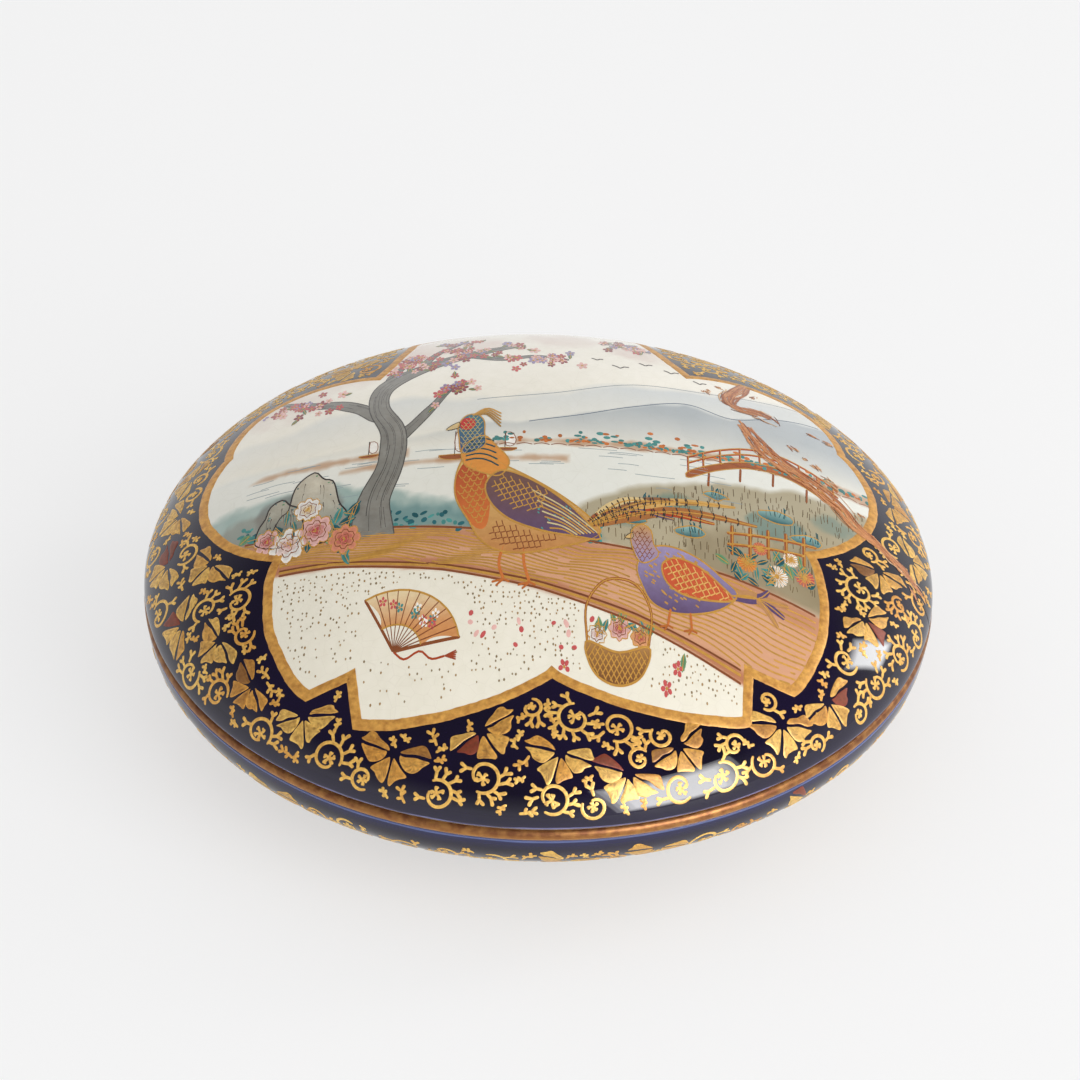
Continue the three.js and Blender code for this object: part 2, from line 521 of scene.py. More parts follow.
class Vacancy:
    """Which parts of a band of skin are still bare, kept in small cells."""

    CELL = 0.3

    def __init__(self, skin, low, high):
        self.low, self.high = low, high
        self.scale = skin.radius((low + high) / 2)
        self.columns = int(2 * math.pi * self.scale / self.CELL)
        self.taken = np.zeros((int((high - low) / self.CELL) + 2, self.columns), bool)

    def cells(self, places):
        rows = np.floor((places[:, 1] - self.low) / self.CELL).astype(int)
        columns = np.floor(places[:, 0] / (2 * math.pi) * self.columns).astype(int) % self.columns
        return rows, columns

    def is_free(self, places):
        rows, columns = self.cells(places)
        if (rows < 0).any() or (rows >= len(self.taken) - 1).any():
            return False
        return not self.taken[rows, columns].any()

    def bare(self, rng, count):
        """Places of bare cells picked at random."""
        rows, columns = np.nonzero(~self.taken)
        picked = rng.integers(0, len(rows), count)
        turns = (columns[picked] + rng.random(count)) / self.columns * 2 * math.pi
        return np.stack((turns, self.low + (rows[picked] + rng.random(count)) * self.CELL), 1)

    def take(self, places):
        rows, columns = self.cells(places)
        fits = (rows >= 0) & (rows < len(self.taken))
        self.taken[rows[fits], columns[fits]] = True


def disc(radius, spacing=0.25):
    """Points that fill a disc."""
    span = np.arange(-radius, radius + TINY, spacing)
    grid = np.stack(np.meshgrid(span, span), -1).reshape(-1, 2)
    return grid[np.hypot(*grid.T) <= radius]


def thick(path, half):
    """Points that fill a line of a path widened by half on each side."""
    dots = disc(half)
    return (np.asarray(path)[:, None, :] + dots[None]).reshape(-1, 2)


def paint(red, green, blue):
    """A colour of paint, as numbers that brushwork can blend."""
    return np.array(srgb(red, green, blue))


GOLD_BRIGHT, GOLD_MID = paint(255, 210, 108), paint(236, 172, 70)
GOLD_BROWN, GOLD_WORN = paint(112, 66, 28), paint(146, 58, 30)


def gold_tone(rng, brightness, worn=0.0):
    """A gold from brown to bright, for a brightness of 0 to 1; a share worn of it is red-brown."""
    level = np.clip(brightness + rng.normal(0, 0.14), 0, 1)
    if rng.random() < worn:
        return GOLD_WORN
    if level < 0.5:
        return GOLD_BROWN + (GOLD_MID - GOLD_BROWN) * level * 2
    return GOLD_MID + (GOLD_BRIGHT - GOLD_MID) * (level * 2 - 1)


def sideways(curve):
    """Which way is left of a curve, at each of its points."""
    way = np.gradient(curve, axis=0)
    return np.stack((-way[:, 1], way[:, 0]), 1) / np.hypot(*way.T)[:, None]


def turned_by(points, degrees):
    c, s = math.cos(math.radians(degrees)), math.sin(math.radians(degrees))
    points = np.asarray(points, float)
    return np.stack((points[:, 0] * c - points[:, 1] * s, points[:, 0] * s + points[:, 1] * c), 1)


# outlines of half a leaflet: across from its rib, and out along it
SIDE_HALF = (
    (0.16, 0.1), (0.75, 0.6), (1.25, 1.7), (1.75, 2.8), (1.6, 3.5), (1.0, 3.95), (0.35, 4.5),
    (0.2, 3.5), (0.3, 2.2), (0.2, 1.0),
)
LOWER_HALF = (
    (0.2, 0.1), (1.1, 0.4), (2.0, 1.3), (2.15, 2.2), (1.7, 3.0), (1.05, 3.4), (0.42, 4.2), (0.24, 3.2),
    (0.14, 2.1), (0.22, 0.9),
)
MIDDLE_HALF = (
    (0.17, 0.2), (0.6, 0.25), (1.6, 1.1), (2.6, 2.3), (1.95, 2.75), (1.25, 3.35), (0.7, 3.95),
    (0.28, 3.5), (0.2, 1.9),
)


def fan(work, vacancy, rng, turn, along, heading, scale, glow):
    """Three leaflets that spread from one point, each split down its middle rib into two halves."""
    chart = work.skin.chart_at(turn, along, heading)
    brightness = float(np.clip(rng.normal(glow, 0.22), 0.1, 1))
    middle = rng.normal(0, 6)
    spread = rng.uniform(80, 92)
    for lean, halves in (
        (middle - spread, (LOWER_HALF, SIDE_HALF)), (middle, (MIDDLE_HALF, MIDDLE_HALF)),
        (middle + spread, (SIDE_HALF, LOWER_HALF))
    ):
        for side, corners in zip((-1, 1), halves):
            corners = np.array(corners) * (1, rng.uniform(0.9, 1.1))
            corners += rng.normal(0, 0.07, corners.shape)
            half = ring_flow(corners * scale + (0, 0.75 * scale), 3)
            outline = turned_by(half * (side, 1), lean)
            tone = gold_tone(rng, brightness + rng.normal(0, 0.16), 0.025)
            heart = tone + (GOLD_BROWN - tone) * rng.uniform(0.0, 0.36)
            work.patch(chart, outline, tone, heart, stain=(GOLD_BROWN, rng))
            vacancy.take(chart(thick(outline, 0.26)))
    vacancy.take(chart(disc(2.4 * scale) + (0, 2.2 * scale)))


def sprig(work, chart, rng, root, heading, arms, reach, tone):
    """Short blunt arms that spread from a root, like coral."""
    for arm in range(arms):
        lean = heading + 360 * arm / arms + rng.normal(0, 7)
        tip = turned_by([(0, reach * rng.uniform(0.8, 1.15))], lean)[0]
        path = flow([root, root + tip * 0.5 + rng.normal(0, 0.05, 2), root + tip], 3)
        work.stroke(chart, path, np.linspace(0.32, 0.52, len(path)), tone)
        nub = turned_by([(0, 0.42 * reach)], lean + rng.choice((-62, 58)))[0]
        work.stroke(chart, [root + tip * 0.62, root + tip * 0.62 + nub], (0.32, 0.46), tone)


def twig(work, chart, rng, heading, length, tone):
    """A short stem that forks at its tip, with a blunt arm on each side."""
    bend = rng.normal(0, 0.1) * length
    stops = [(0, -0.5 * length), (bend, -0.1 * length), (0.4 * bend, 0.2 * length)]
    stem = flow(turned_by(stops, heading), 4)
    work.stroke(chart, stem, np.linspace(0.4, 0.46, len(stem)), tone)
    arms = ((stem[3], -58, 0.34), (stem[5], 56, 0.36), (stem[-1], -40, 0.38), (stem[-1], 36, 0.38))
    for root, lean, reach in arms:
        tip = root + turned_by([(0, reach * length)], heading + lean + rng.normal(0, 7))[0]
        bent = (root + tip) / 2 + rng.normal(0, 0.05, 2)
        work.stroke(chart, flow([root, bent, tip], 3), np.linspace(0.36, 0.56, 7), tone)


def tendril(work, vacancy, rng, turn, along, radius, hand, start, glow):
    """An open ring of a curled stem, with a coral sprig inside and forked twigs all round it."""
    chart = work.skin.chart_at(turn, along, 0)
    tone = gold_tone(rng, glow + rng.normal(0, 0.1))
    share = np.linspace(0, 1, 44)
    sweep = rng.uniform(290, 330)
    angles = np.radians(start + hand * sweep * share)
    reach = radius * (1 - 0.42 * np.clip((share - 0.7) / 0.3, 0, 1) ** 1.3)
    ring = np.stack((reach * np.cos(angles), reach * np.sin(angles)), 1)
    widths = np.interp(share, (0, 0.15, 0.8, 1), (0.36, 0.5, 0.5, 0.36))
    work.stroke(chart, ring, widths, tone, FAN_LIFT)
    vacancy.take(chart(disc(radius + 0.3)))
    sprig(work, chart, rng, ring[-1] * 0.15, math.degrees(angles[-1]) - 90, 5, 0.56 * radius, tone)
    work.stroke(chart, flow([ring[-1], ring[-1] * 0.55, ring[-1] * 0.15], 3), 0.4, tone)
    spacing = rng.uniform(27, 33)
    for k in range(int(sweep / spacing)):
        angle = math.radians(start + hand * (k + 0.5) * spacing)
        root = radius * np.array([math.cos(angle), math.sin(angle)])
        heading = math.degrees(angle) - 90 + hand * rng.uniform(12, 38)
        stem = turned_by([(0, rng.uniform(0.95, 1.4))], heading)[0]
        forks = [turned_by([(0, rng.uniform(0.75, 1.15))], heading + lean)[0] for lean in (-46, 34)]
        tips = [root + stem, *(root + stem + fork for fork in forks)]
        if not vacancy.is_free(chart(np.vstack(tips))):
            continue
        path = flow([root, root + stem * 0.5, root + stem], 3)
        work.stroke(chart, path, np.linspace(0.42, 0.5, len(path)), tone)
        for fork in forks:
            path = flow([root + stem * 0.85, root + stem + fork * 0.5, root + stem + fork], 3)
            work.stroke(chart, path, np.linspace(0.4, 0.62, len(path)), tone)
        vacancy.take(chart(thick(tips, 0.3)))


FAN_GAP = 9.8  # least distances between the middles of motifs: two fans,
FAN_TO_CURL = 4.2  # a fan and a curl,
CURL_GAP, SMALL_CURL_GAP = 4.9, 3.9  # and two curls
CURL_SWEEPS, LARGE_CURL_SWEEPS = 44, 25
TWIG_SWEEPS, LONG_TWIG_SWEEPS = 36, 16


def arabesque(work, vacancy, rng, low, high, fans, curls, glow):
    """Fans and tendrils at random on a band, as close as they go, and twigs where it stays bare."""
    spots = {"fan": [], "curl": []}

    def far(turn, along, gaps):
        for kind, least in gaps.items():
            if spots[kind]:
                others = np.array(spots[kind])
                aside = (turn - others[:, 0] + math.pi) % (2 * math.pi) - math.pi
                distance = np.hypot(aside * work.skin.radius(along), along - others[:, 1])
                if distance.min() < least:
                    return False
        return True

    for turn, along in vacancy.bare(rng, 6000):
        if len(spots["fan"]) >= fans:
            break
        if not low + 2 < along < high - 2.4 or not far(turn, along, {"fan": FAN_GAP}):
            continue
        heading = rng.normal(0, 30)
        scale = rng.uniform(0.9, 1.06)
        chart = work.skin.chart_at(turn, along, heading)
        if vacancy.is_free(chart(disc(4.2 * scale, 0.7) * (1.12, 0.6))):
            root = chart([(0, -2.1 * scale)])[0]
            fan(work, vacancy, rng, root[0], root[1], heading, scale, glow)
            spots["fan"].append((turn, along))
    for sweep in range(CURL_SWEEPS):
        small = sweep >= LARGE_CURL_SWEEPS
        gaps = {"fan": FAN_TO_CURL, "curl": SMALL_CURL_GAP if small else CURL_GAP}
        for turn, along in vacancy.bare(rng, 220):
            if len(spots["curl"]) >= curls or not far(turn, along, gaps):
                continue
            radius = rng.uniform(1.25, 1.6) if small else rng.uniform(1.85, 2.15)
            if vacancy.is_free(work.skin.chart_at(turn, along, 0)(disc(radius + 0.25, 0.5))):
                hand = rng.choice((-1, 1))
                tendril(work, vacancy, rng, turn, along, radius, hand, rng.uniform(0, 360), glow)
                spots["curl"].append((turn, along))
    for sweep in range(TWIG_SWEEPS):
        reach = 1.25 if sweep < LONG_TWIG_SWEEPS else 0.85
        for turn, along in vacancy.bare(rng, 160):
            chart = work.skin.chart_at(turn, along, 0)
            if vacancy.is_free(chart(disc(reach, 0.4))):
                twig(work, chart, rng, rng.uniform(0, 360), 2.1 * reach, gold_tone(rng, glow))
                vacancy.take(chart(disc(reach)))


bowl_skin = Skin(swell(LIP_BOTTOM, SHELL_RADIUS, -SHELL_DEPTH, SHELL_POWERS, 0, foot_angle, 240))
bowl_gold = painted("bowl_gold", 0.36, 0.16, 0.8, 0.5, 0.03)
BOWL_BAND = (3.1, 24)
bowl_work = Brushwork(bowl_skin)
bowl_vacancy = Vacancy(bowl_skin, BOWL_BAND[0] - 0.6, BOWL_BAND[1])
arabesque(bowl_work, bowl_vacancy, np.random.default_rng(11), *BOWL_BAND, 44, 120, 0.85)
bowl_work.finish("bowl_sprays", "bowl", "gilding", bowl_gold)


# The lid: a thrown dome of the same clay with a ground lower edge, cobalt glaze outside and cream inside.
# The glaze has pulled away from the lower edge, which shows as a pale line; its colour is partly a
# painted highlight along that rounded edge.
REST_GAP = 0.3
LID_EDGE_ROUND = 0.7
LID_EDGE_HEIGHT = SEAM_HEIGHT + REST_GAP
WIDEST_HEIGHT = LID_EDGE_HEIGHT + LID_EDGE_ROUND
DOME_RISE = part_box("lid")[1].z / MM - WIDEST_HEIGHT - ORNAMENT_DEPTH
DOME_POWERS = (1.98, 1.72)
LID_SEAT_INNER = 54.7

# the pale line at the lid's lower edge: thin glaze, with a painted highlight of the rounded edge in its
# colour
lid_edge_line_and_highlight, lid_wash = srgb(122, 122, 172), srgb(20, 12, 46)
lid_cobalt = cobalt_glaze("lid_cobalt_glaze", LID_EDGE_HEIGHT + 0.1, 1, lid_edge_line_and_highlight, 0.5, lid_wash, 3)
edge_radii = (LID_EDGE_ROUND, LID_EDGE_ROUND)
lid_edge = arc((RIM_RADIUS - LID_EDGE_ROUND, WIDEST_HEIGHT), edge_radii, -90, -20, 6)
lid_outside = swell(WIDEST_HEIGHT, RIM_RADIUS, DOME_RISE, DOME_POWERS, 0, 90, 96)
lid_inside = swell(WIDEST_HEIGHT, RIM_RADIUS - WALL, DOME_RISE - WALL, DOME_POWERS, 90, 0, 40)
lid = turned(
    "lid_glazed",
    [
        (CREAM_GLAZE, [*lid_inside, (LID_SEAT_INNER, LID_EDGE_HEIGHT)]),
        (BARE_PORCELAIN, [(LID_SEAT_INNER, LID_EDGE_HEIGHT), *lid_edge[:3]]),
        (lid_cobalt, [*lid_edge[2:], *lid_outside]),
    ],
    "lid",
)
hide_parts("lid")


# The border of the painted panel: a band of gold 1.4 mm wide that follows a lobed and stepped outline,
# brushed on thickly, with the marks of the brush left in it, and fired.
PANEL_TURN = 2.9
# corners of the right half, from the front cusp to the rear lobe: x, y, and the swell of the way after it
CORNERS = [
    (0, -42.3, 0.22), (27.6, -46.3, 0.0), (28.4, -39.2, 0.06), (34.7, -40.4, 0.26), (39.1, -15.1, 0.46),
    (47.1, 15.0, 0.56), (24.2, 30.4, -0.06), (18.7, 46.1, 0.05), (17.5, 51.2, 0.08),
]
REAR_CUSP = (0, 55.4)
BORDER_HALF = 0.72
BORDER_STEP = 0.5

lid_skin = Skin(swell(WIDEST_HEIGHT, RIM_RADIUS, DOME_RISE, DOME_POWERS, 90, 0, 400))


def swelling(first, last, bulge):
    """Points from one corner to the next, on a shallow arc that swells to the right by a share bulge."""
    first, last = np.array(first, float), np.array(last, float)
    way = last - first
    steps = max(3, int(math.hypot(*way) / BORDER_STEP))
    share = np.linspace(0, 1, steps, endpoint=False)[:, None]
    right = np.array([way[1], -way[0]])
    return first + way * share + right * (bulge / 2 * (4 * share * (1 - share)) ** 0.86)


def panel_outline():
    """The panel's outline in plan, anticlockwise from the front cusp."""
    stops = [*CORNERS, (*REAR_CUSP, 0)]
    right = np.vstack([swelling(a[:2], b[:2], a[2]) for a, b in zip(stops, stops[1:])])
    left = np.vstack((REAR_CUSP, (right * (-1, 1))[:0:-1]))
    return turned_by(np.vstack((right, left)), PANEL_TURN)


def plan(points):
    """Places on the lid of points seen from above."""
    points = np.asarray(points, float)
    reach = np.hypot(*points.T)
    along = np.interp(reach, lid_skin.profile[:, 0], lid_skin.along)
    return np.stack((np.arctan2(points[:, 1], points[:, 0]), along), 1)


def offset(outline, distance):
    """A closed outline moved outwards by a distance, with its corners kept sharp."""
    ahead, behind = np.roll(outline, -1, 0) - outline, outline - np.roll(outline, 1, 0)
    ways = (ahead, behind)
    normals = [np.stack((way[:, 1], -way[:, 0]), 1) / np.hypot(*way.T)[:, None] for way in ways]
    mitre = sum(normals)
    mitre /= np.maximum((mitre * normals[0]).sum(1), 0.55)[:, None]
    return outline + mitre * np.asarray(distance).reshape(-1, 1)


PANEL = panel_outline()
border_rng = np.random.default_rng(5)
border_work = Brushwork(lid_skin)
unevenness = np.convolve(border_rng.normal(0, 0.3, len(PANEL) + 8), np.ones(9) / 9, "valid")
border_rows = [
    offset(PANEL, BORDER_HALF * share + unevenness * (0.6 if abs(share) > 0.8 else 0))
    for share in (-1, -0.82, -0.3, 0.3, 0.82, 1)
]
row_lifts = (BRUSH_FLOOR, 0.055, 0.07, 0.07, 0.055, BRUSH_FLOOR)
border_count = len(PANEL)
border_faces = []
for r in range(len(border_rows) - 1):
    for k in range(border_count):
        after = (k + 1) % border_count
        border_faces.append((r * border_count + k, r * border_count + after,
                             (r + 1) * border_count + after, (r + 1) * border_count + k))
border_places = plan(np.vstack(border_rows))
border_work.add(border_places, np.repeat(row_lifts, border_count), paint(232, 174, 82), border_faces)
border_gold = painted("border_gold", 0.4, 0.16, 1.0, 0.8, 0.06)
border_work.finish("panel_border", "lid", "gilding", border_gold)


# The lid's arabesque: fans, curled tendrils and twigs of gold like the bowl's, brushed on freehand and
# fired. They fill the blue between the panel's border and the rim.
LID_BAND = (float(np.interp(38, lid_skin.profile[:, 0], lid_skin.along)), lid_skin.along[-1] - 1.3)
lid_work = Brushwork(lid_skin)
lid_vacancy = Vacancy(lid_skin, LID_BAND[0] - 2, LID_BAND[1])
for inset in np.arange(-1.35, 3.6, 0.25):
    lid_vacancy.take(plan(offset(PANEL, -inset)))
band_angles = np.radians(np.arange(0, 360, 0.25))
band_reach = np.arange(30, 59, 0.25)
band_rays = np.stack((np.cos(band_angles), np.sin(band_angles)), 1)
band_grid = (band_reach[:, None, None] * band_rays).reshape(-1, 2)
lid_vacancy.take(plan(band_grid[depth_inside(PANEL[::3], band_grid) > -1.3]))
arabesque(lid_work, lid_vacancy, np.random.default_rng(23), *LID_BAND, 60, 260, 0.84)
lid_gold = painted("lid_gold", 0.4, 0.16, 0.6, 0.72, 0.05)
lid_work.finish("lid_arabesque", "lid", "gilding", lid_gold)


# The painted panel: a lakeside laid in with thin washes of colour over the cream ground and fired, as the
# first coat of the painting. It is a general scene, drawn as seen from the front, where the dome shortens
# depths.
DEPTH_SHARE = 0.62  # height in the picture for each millimetre of depth in plan
WASH_LIFT = 0.02
WASH_GRAIN = 0.36
GROUND = np.array((236.0, 230, 213))  # the washes are mixed in screen colours from 0 to 255


def picture(points):
    """Places on the lid of points drawn as seen from the front, from the middle of the panel."""
    return plan(np.asarray(points, float) / (1, DEPTH_SHARE))


def mottle(places, size, rng, octaves=3):
    """Smooth random shading from 0 to 1 over places, in lumps of a size."""
    total, weight = np.zeros(len(places)), 0.0
    for octave in range(octaves):
        lattice = rng.random((64, 64))
        at = places * (2**octave / size) + 31.7
        cell = np.floor(at).astype(int)
        share = at - cell
        share = share * share * (3 - 2 * share)
        (x0, y0), (x1, y1) = (cell % 64).T, ((cell + 1) % 64).T
        low = lattice[x0, y0] * (1 - share[:, 0]) + lattice[x1, y0] * share[:, 0]
        high = lattice[x0, y1] * (1 - share[:, 0]) + lattice[x1, y1] * share[:, 0]
        total += (low * (1 - share[:, 1]) + high * share[:, 1]) * 0.5**octave
        weight += 0.5**octave
    return total / weight


class Wash:
    """Colours laid over one another on a fine grid of the panel."""

    def __init__(self, places, rng):
        self.places, self.rng = places, rng
        self.colours = np.tile(GROUND, (len(places), 1))

    def lay(self, outline, colour, strength, softness=0.6, grain=3.0, patchy=0.3, fade=None):
        """A wash inside an outline; fade is two heights, full at the first and gone at the second."""
        uneven = mottle(self.places, grain, self.rng) - 0.5
        inside = depth_inside(outline, self.places) + uneven * softness * 1.6
        cover = np.clip(inside / softness + 0.5, 0, 1) * strength
        cover *= 1 - patchy * mottle(self.places, grain * 1.7, self.rng)
        if fade:
            cover *= np.clip((self.places[:, 1] - fade[1]) / (fade[0] - fade[1]), 0, 1)
        self.colours += (np.array(colour, float) - self.colours) * cover[:, None]


BANK_TOP = [
    (-58, -7.4), (-44, -7.6), (-30, -8.4), (-14, -9.6), (0, -10.8), (14, -12.0), (28, -13.6),
    (41, -15.6), (54, -17.4),
]
BANK_FOOT = [
    (54, -29), (42, -27), (34, -26), (26, -24), (14, -20.6), (0, -17.4), (-14, -15.0), (-30, -13.2),
    (-44, -12.6), (-58, -12.4),
]
SHORE_HEIGHT = 2.6
HILLS = [
    (60, 15.5), (50, 14.5), (43, 15.2), (36, 13.6), (29, 11.2), (22, 12.6), (14, 10.6), (6, 8.2),
    (-2, 6.6), (-10, 6.2), (-18, 4.8), (-26, 4.0), (-34, 3.2),
]
FAR_HILLS = [
    (60, 17.5), (40, 18.0), (26, 16.0), (14, 15.4), (2, 12.4), (-10, 11.0), (-22, 11.8), (-36, 9.4),
    (-60, 8.0),
]

wash_rng = np.random.default_rng(3)
span_x = np.arange(-56, 56.01, WASH_GRAIN)
span_y = np.arange(-52, 58.01, WASH_GRAIN)
wash_grid = np.stack(np.meshgrid(span_x, span_y), -1).reshape(-1, 2)
wash_depth = depth_inside(PANEL[::2], wash_grid)
drawn = wash_grid * (1, DEPTH_SHARE)
wash = Wash(drawn, wash_rng)
wash.colours += ((mottle(drawn, 14, wash_rng) - 0.5) * 9)[:, None]
wash.colours += ((mottle(drawn, 0.9, wash_rng, 2) - 0.5) * 6)[:, None] * (1, 1, 1.3)
wash.colours += (np.clip((drawn[:, 1] + 6) / 24, 0, 1) * 11)[:, None] * (1, 1.05, 1.3)
low_edge = [(-60, SHORE_HEIGHT), (60, SHORE_HEIGHT)]
wash.lay(low_edge + FAR_HILLS, (186, 196, 204), 0.62, 1.4, 7, 0.35, (15, 2.8))
wash.lay(low_edge + HILLS, (144, 154, 162), 0.78, 0.7, 5, 0.45, (10, 2.0))
wash.lay([(-60, 3), (60, 3), (60, -7), (-60, -9)], (216, 224, 226), 0.5, 1.2, 8, 0.5)
for left, right, height, thickness in ((-8, 52, 2.9, 1.3), (-44, -20, 1.6, 0.9), (-30, 4, 0.2, 0.5)):
    foot = [(left, height - 0.3), (right, height - 0.3)]
    top = [(right, height + thickness), (left + 3, height + thickness * 0.5)]
    wash.lay(foot + top, (176, 124, 84), 0.75, 0.6, 2.4, 0.35)
FIELD = [
    (2, -10.5), (6, -6.5), (12, -4.2), (20, -2.2), (30, -0.6), (40, 0.4), (54, 0.6), (54, -16),
    (28, -13.8), (14, -12.2),
]
wash.lay(FIELD, (158, 144, 112), 0.92, 0.9, 4, 0.3)
wash.lay([(20, -13.8), (24, -8), (34, -7), (52, -8), (52, -17)], (122, 106, 78), 0.6, 2.4, 3, 0.6)
NEAR_SHORE = [
    (-52, -9), (-52, -3), (-40, -1.6), (-30, -2.2), (-20, -4.4), (-8, -6.4), (4, -7.2), (10, -8.6),
    (8, -11.4),
]
wash.lay(NEAR_SHORE, (122, 152, 146), 0.85, 0.9, 2.2, 0.5)
wash.lay(
    [(-34, -9.6), (-30, -4.6), (-10, -7.4), (8, -9.2), (10, -12)], (74, 116, 118), 0.7, 1.2, 1.6, 0.7,
)
wash.lay(BANK_TOP + BANK_FOOT, (208, 150, 114), 0.96, 0.35, 6, 0.12)
wash.lay(BANK_TOP + [(x, y - 2.2) for x, y in BANK_TOP[::-1]], (172, 108, 76), 0.5, 1.0, 4, 0.5)
wash.lay([(x, y + 1.3) for x, y in BANK_FOOT] + BANK_FOOT[::-1], (160, 92, 60), 0.62, 0.5, 5, 0.4)
for x, y, reach, colour, strength in (
    (-36, -4.6, 6.5, (120, 118, 112), 0.85), (-43, -6.0, 5.0, (140, 132, 120), 0.7),
    (35, -5.6, 4.5, (88, 124, 122), 0.7), (20, -5.2, 3.6, (96, 128, 120), 0.7),
    (44, -3.0, 3.4, (100, 130, 126), 0.6), (12, -7.6, 3.0, (84, 120, 118), 0.6),
):
    mound = arc((x, y), (reach, 0.42 * reach), 0, 330, 11)
    wash.lay(mound, colour, strength, 0.8, 1.8, 0.4)
for x, y, reach in ((-30, 21, 11), (-14, 25.5, 9), (-40, 15, 7), (18, 25, 8), (2, 28, 6)):
    cloud = arc((x, y), (reach, 0.36 * reach), 0, 330, 11)
    wash.lay(cloud, (208, 176, 168), 0.5, 2.6, 2.6, 0.8)

columns = len(span_x)
kept = wash_depth > -0.45
numbers = np.cumsum(kept) - 1
wash_faces = []
for row in range(len(span_y) - 1):
    for column in range(columns - 1):
        k = row * columns + column
        if kept[k] and kept[k + 1] and kept[k + columns] and kept[k + columns + 1]:
            wash_faces.append(tuple(int(numbers[i]) for i in (k, k + 1, k + columns + 1, k + columns)))
screen = np.clip(wash.colours[kept], 0, 255) / 255
wash_tints = np.where(screen <= 0.04045, screen / 12.92, ((screen + 0.055) / 1.055) ** 2.4)
wash_work = Brushwork(lid_skin)
wash_work.add(plan(wash_grid[kept]), WASH_LIFT, wash_tints, wash_faces)
wash_material, wash_shader, wash_place = finish("painted_ground", 0.16)
wash_tint = wash_place.node("ShaderNodeAttribute", {"attribute_name": "tint"})
wash_cells = {"Vector": wash_place, "Scale": 1 / (2.3 * MM)}
wash_cracks = wash_place.node("ShaderNodeTexVoronoi", {"feature": "DISTANCE_TO_EDGE"}, wash_cells)
crackle = wash_cracks.between(0.022, 0.0) * 0.08
crackle.mix(wash_tint, srgb(150, 132, 108)).into(wash_shader, "Base Color")
wash_place.bump(wash_place.noise(2.6, 2), 0.2, 0.02).into(wash_shader, "Normal")
wash_work.finish("panel_wash", "lid", "enamel", wash_material)


# The panel's enamels: birds, tree, flowers, rocks and bridge in thicker coloured enamel over the washes.
# The gold that outlines and patterns them is a layer of its own, brushed on last and fired at a low heat.
ENAMEL_BASE, ENAMEL_LIFT, FILL_LIFT = 0.024, 0.034, 0.029
GOLD_BASE, GOLD_LIFT, DOT_LIFT = 0.032, 0.044, 0.036
BRANCH_RISE, TRUNK_RISE, BLOSSOM_RISE = 0.004, 0.016, 0.02
ROCK_RISE, PEONY_RISE, FENCE_RISE, BASKET_RISE = 0.022, 0.032, 0.012, 0.014
COCK_RISES = {"legs": 0.024, "body": 0.028, "tail": 0.03, "breast": 0.032, "cape": 0.04, "wing": 0.042,
              "neck": 0.044, "face": 0.05}
HEN_RISES = {"tail": 0.024, "body": 0.03, "wing": 0.042, "head": 0.044}
PANEL_SEEN = PANEL[::3] * (1, DEPTH_SHARE)
enamel = Brushwork(lid_skin)
gilding = Brushwork(lid_skin)
art_rng = np.random.default_rng(8)
INK = paint(58, 50, 46)
LINE_GOLD = paint(214, 160, 70)
LINE_BROWN = paint(150, 84, 44)
TEAL, DEEP_TEAL = paint(76, 146, 142), paint(40, 96, 104)
LEAF_GREEN = paint(112, 158, 116)
LEAF_TINTS = (LEAF_GREEN, TEAL, DEEP_TEAL)
BARK, BARK_DARK = paint(138, 136, 128), paint(82, 80, 76)
RUST, ORANGE = paint(178, 76, 42), paint(222, 128, 62)
PLUM, LILAC = paint(98, 78, 116), paint(160, 146, 184)
ROSE, PALE_ROSE = paint(206, 92, 92), paint(240, 190, 182)
WHITE = paint(248, 244, 236)


class Stage:
    """How high the painting is built up so far, so that the next strokes lie over what is there."""

    rise = 0.0


def drawn_line(work, curve, width, tint, base, lift, step):
    """A stroke that stops at the panel's border."""
    widths = np.broadcast_to(np.asarray(width, float), (len(curve),))
    inside = depth_inside(PANEL_SEEN, curve) > 0.5
    ends = np.flatnonzero(np.diff(np.concatenate(([0], inside, [0]))))
    for first, last in zip(ends[::2], ends[1::2]):
        if last - first > 1:
            lifts = (lift + Stage.rise, base + Stage.rise)
            work.stroke(picture, curve[first:last], widths[first:last], tint, *lifts, step)


def line(path, width, tint, steps=4):
    """An enamel line drawn in the picture."""
    drawn_line(enamel, flow(path, steps), width, tint, ENAMEL_BASE, ENAMEL_LIFT, 0.6)


def gold_line(path, width, tint=LINE_GOLD, steps=4, step=0.7):
    """A raised gold line drawn in the picture."""
    drawn_line(gilding, flow(path, steps), width, tint, GOLD_BASE, GOLD_LIFT, step)


def within(x, y, margin=0.8):
    return depth_inside(PANEL_SEEN, [(x, y)])[0] > margin


def dab(x, y, length, width, heading, tint, heart=None, work=enamel):
    """An oval touch of the brush; heading is in degrees from the right."""
    if within(x, y):
        oval = turned_by(arc((0, 0), (length / 2, width / 2), 0, 315, 7), heading) + (x, y)
        lift, base = (ENAMEL_LIFT, ENAMEL_BASE) if work is enamel else (GOLD_LIFT, GOLD_BASE)
        work.patch(picture, oval, tint, heart, lift + Stage.rise, base + Stage.rise)


def shape(outline, tint, outlined=LINE_GOLD, width=0.2, grain=0.9, steps=4):
    """A flat area of enamel inside a smooth outline, with a gold line round it."""
    curve = ring_flow(outline, steps)
    enamel.fill(picture, curve, tint, FILL_LIFT + Stage.rise, grain)
    if outlined is not None:
        gold_line(np.vstack((curve, curve[:1])), width, outlined, 1, 0.6)
    return curve


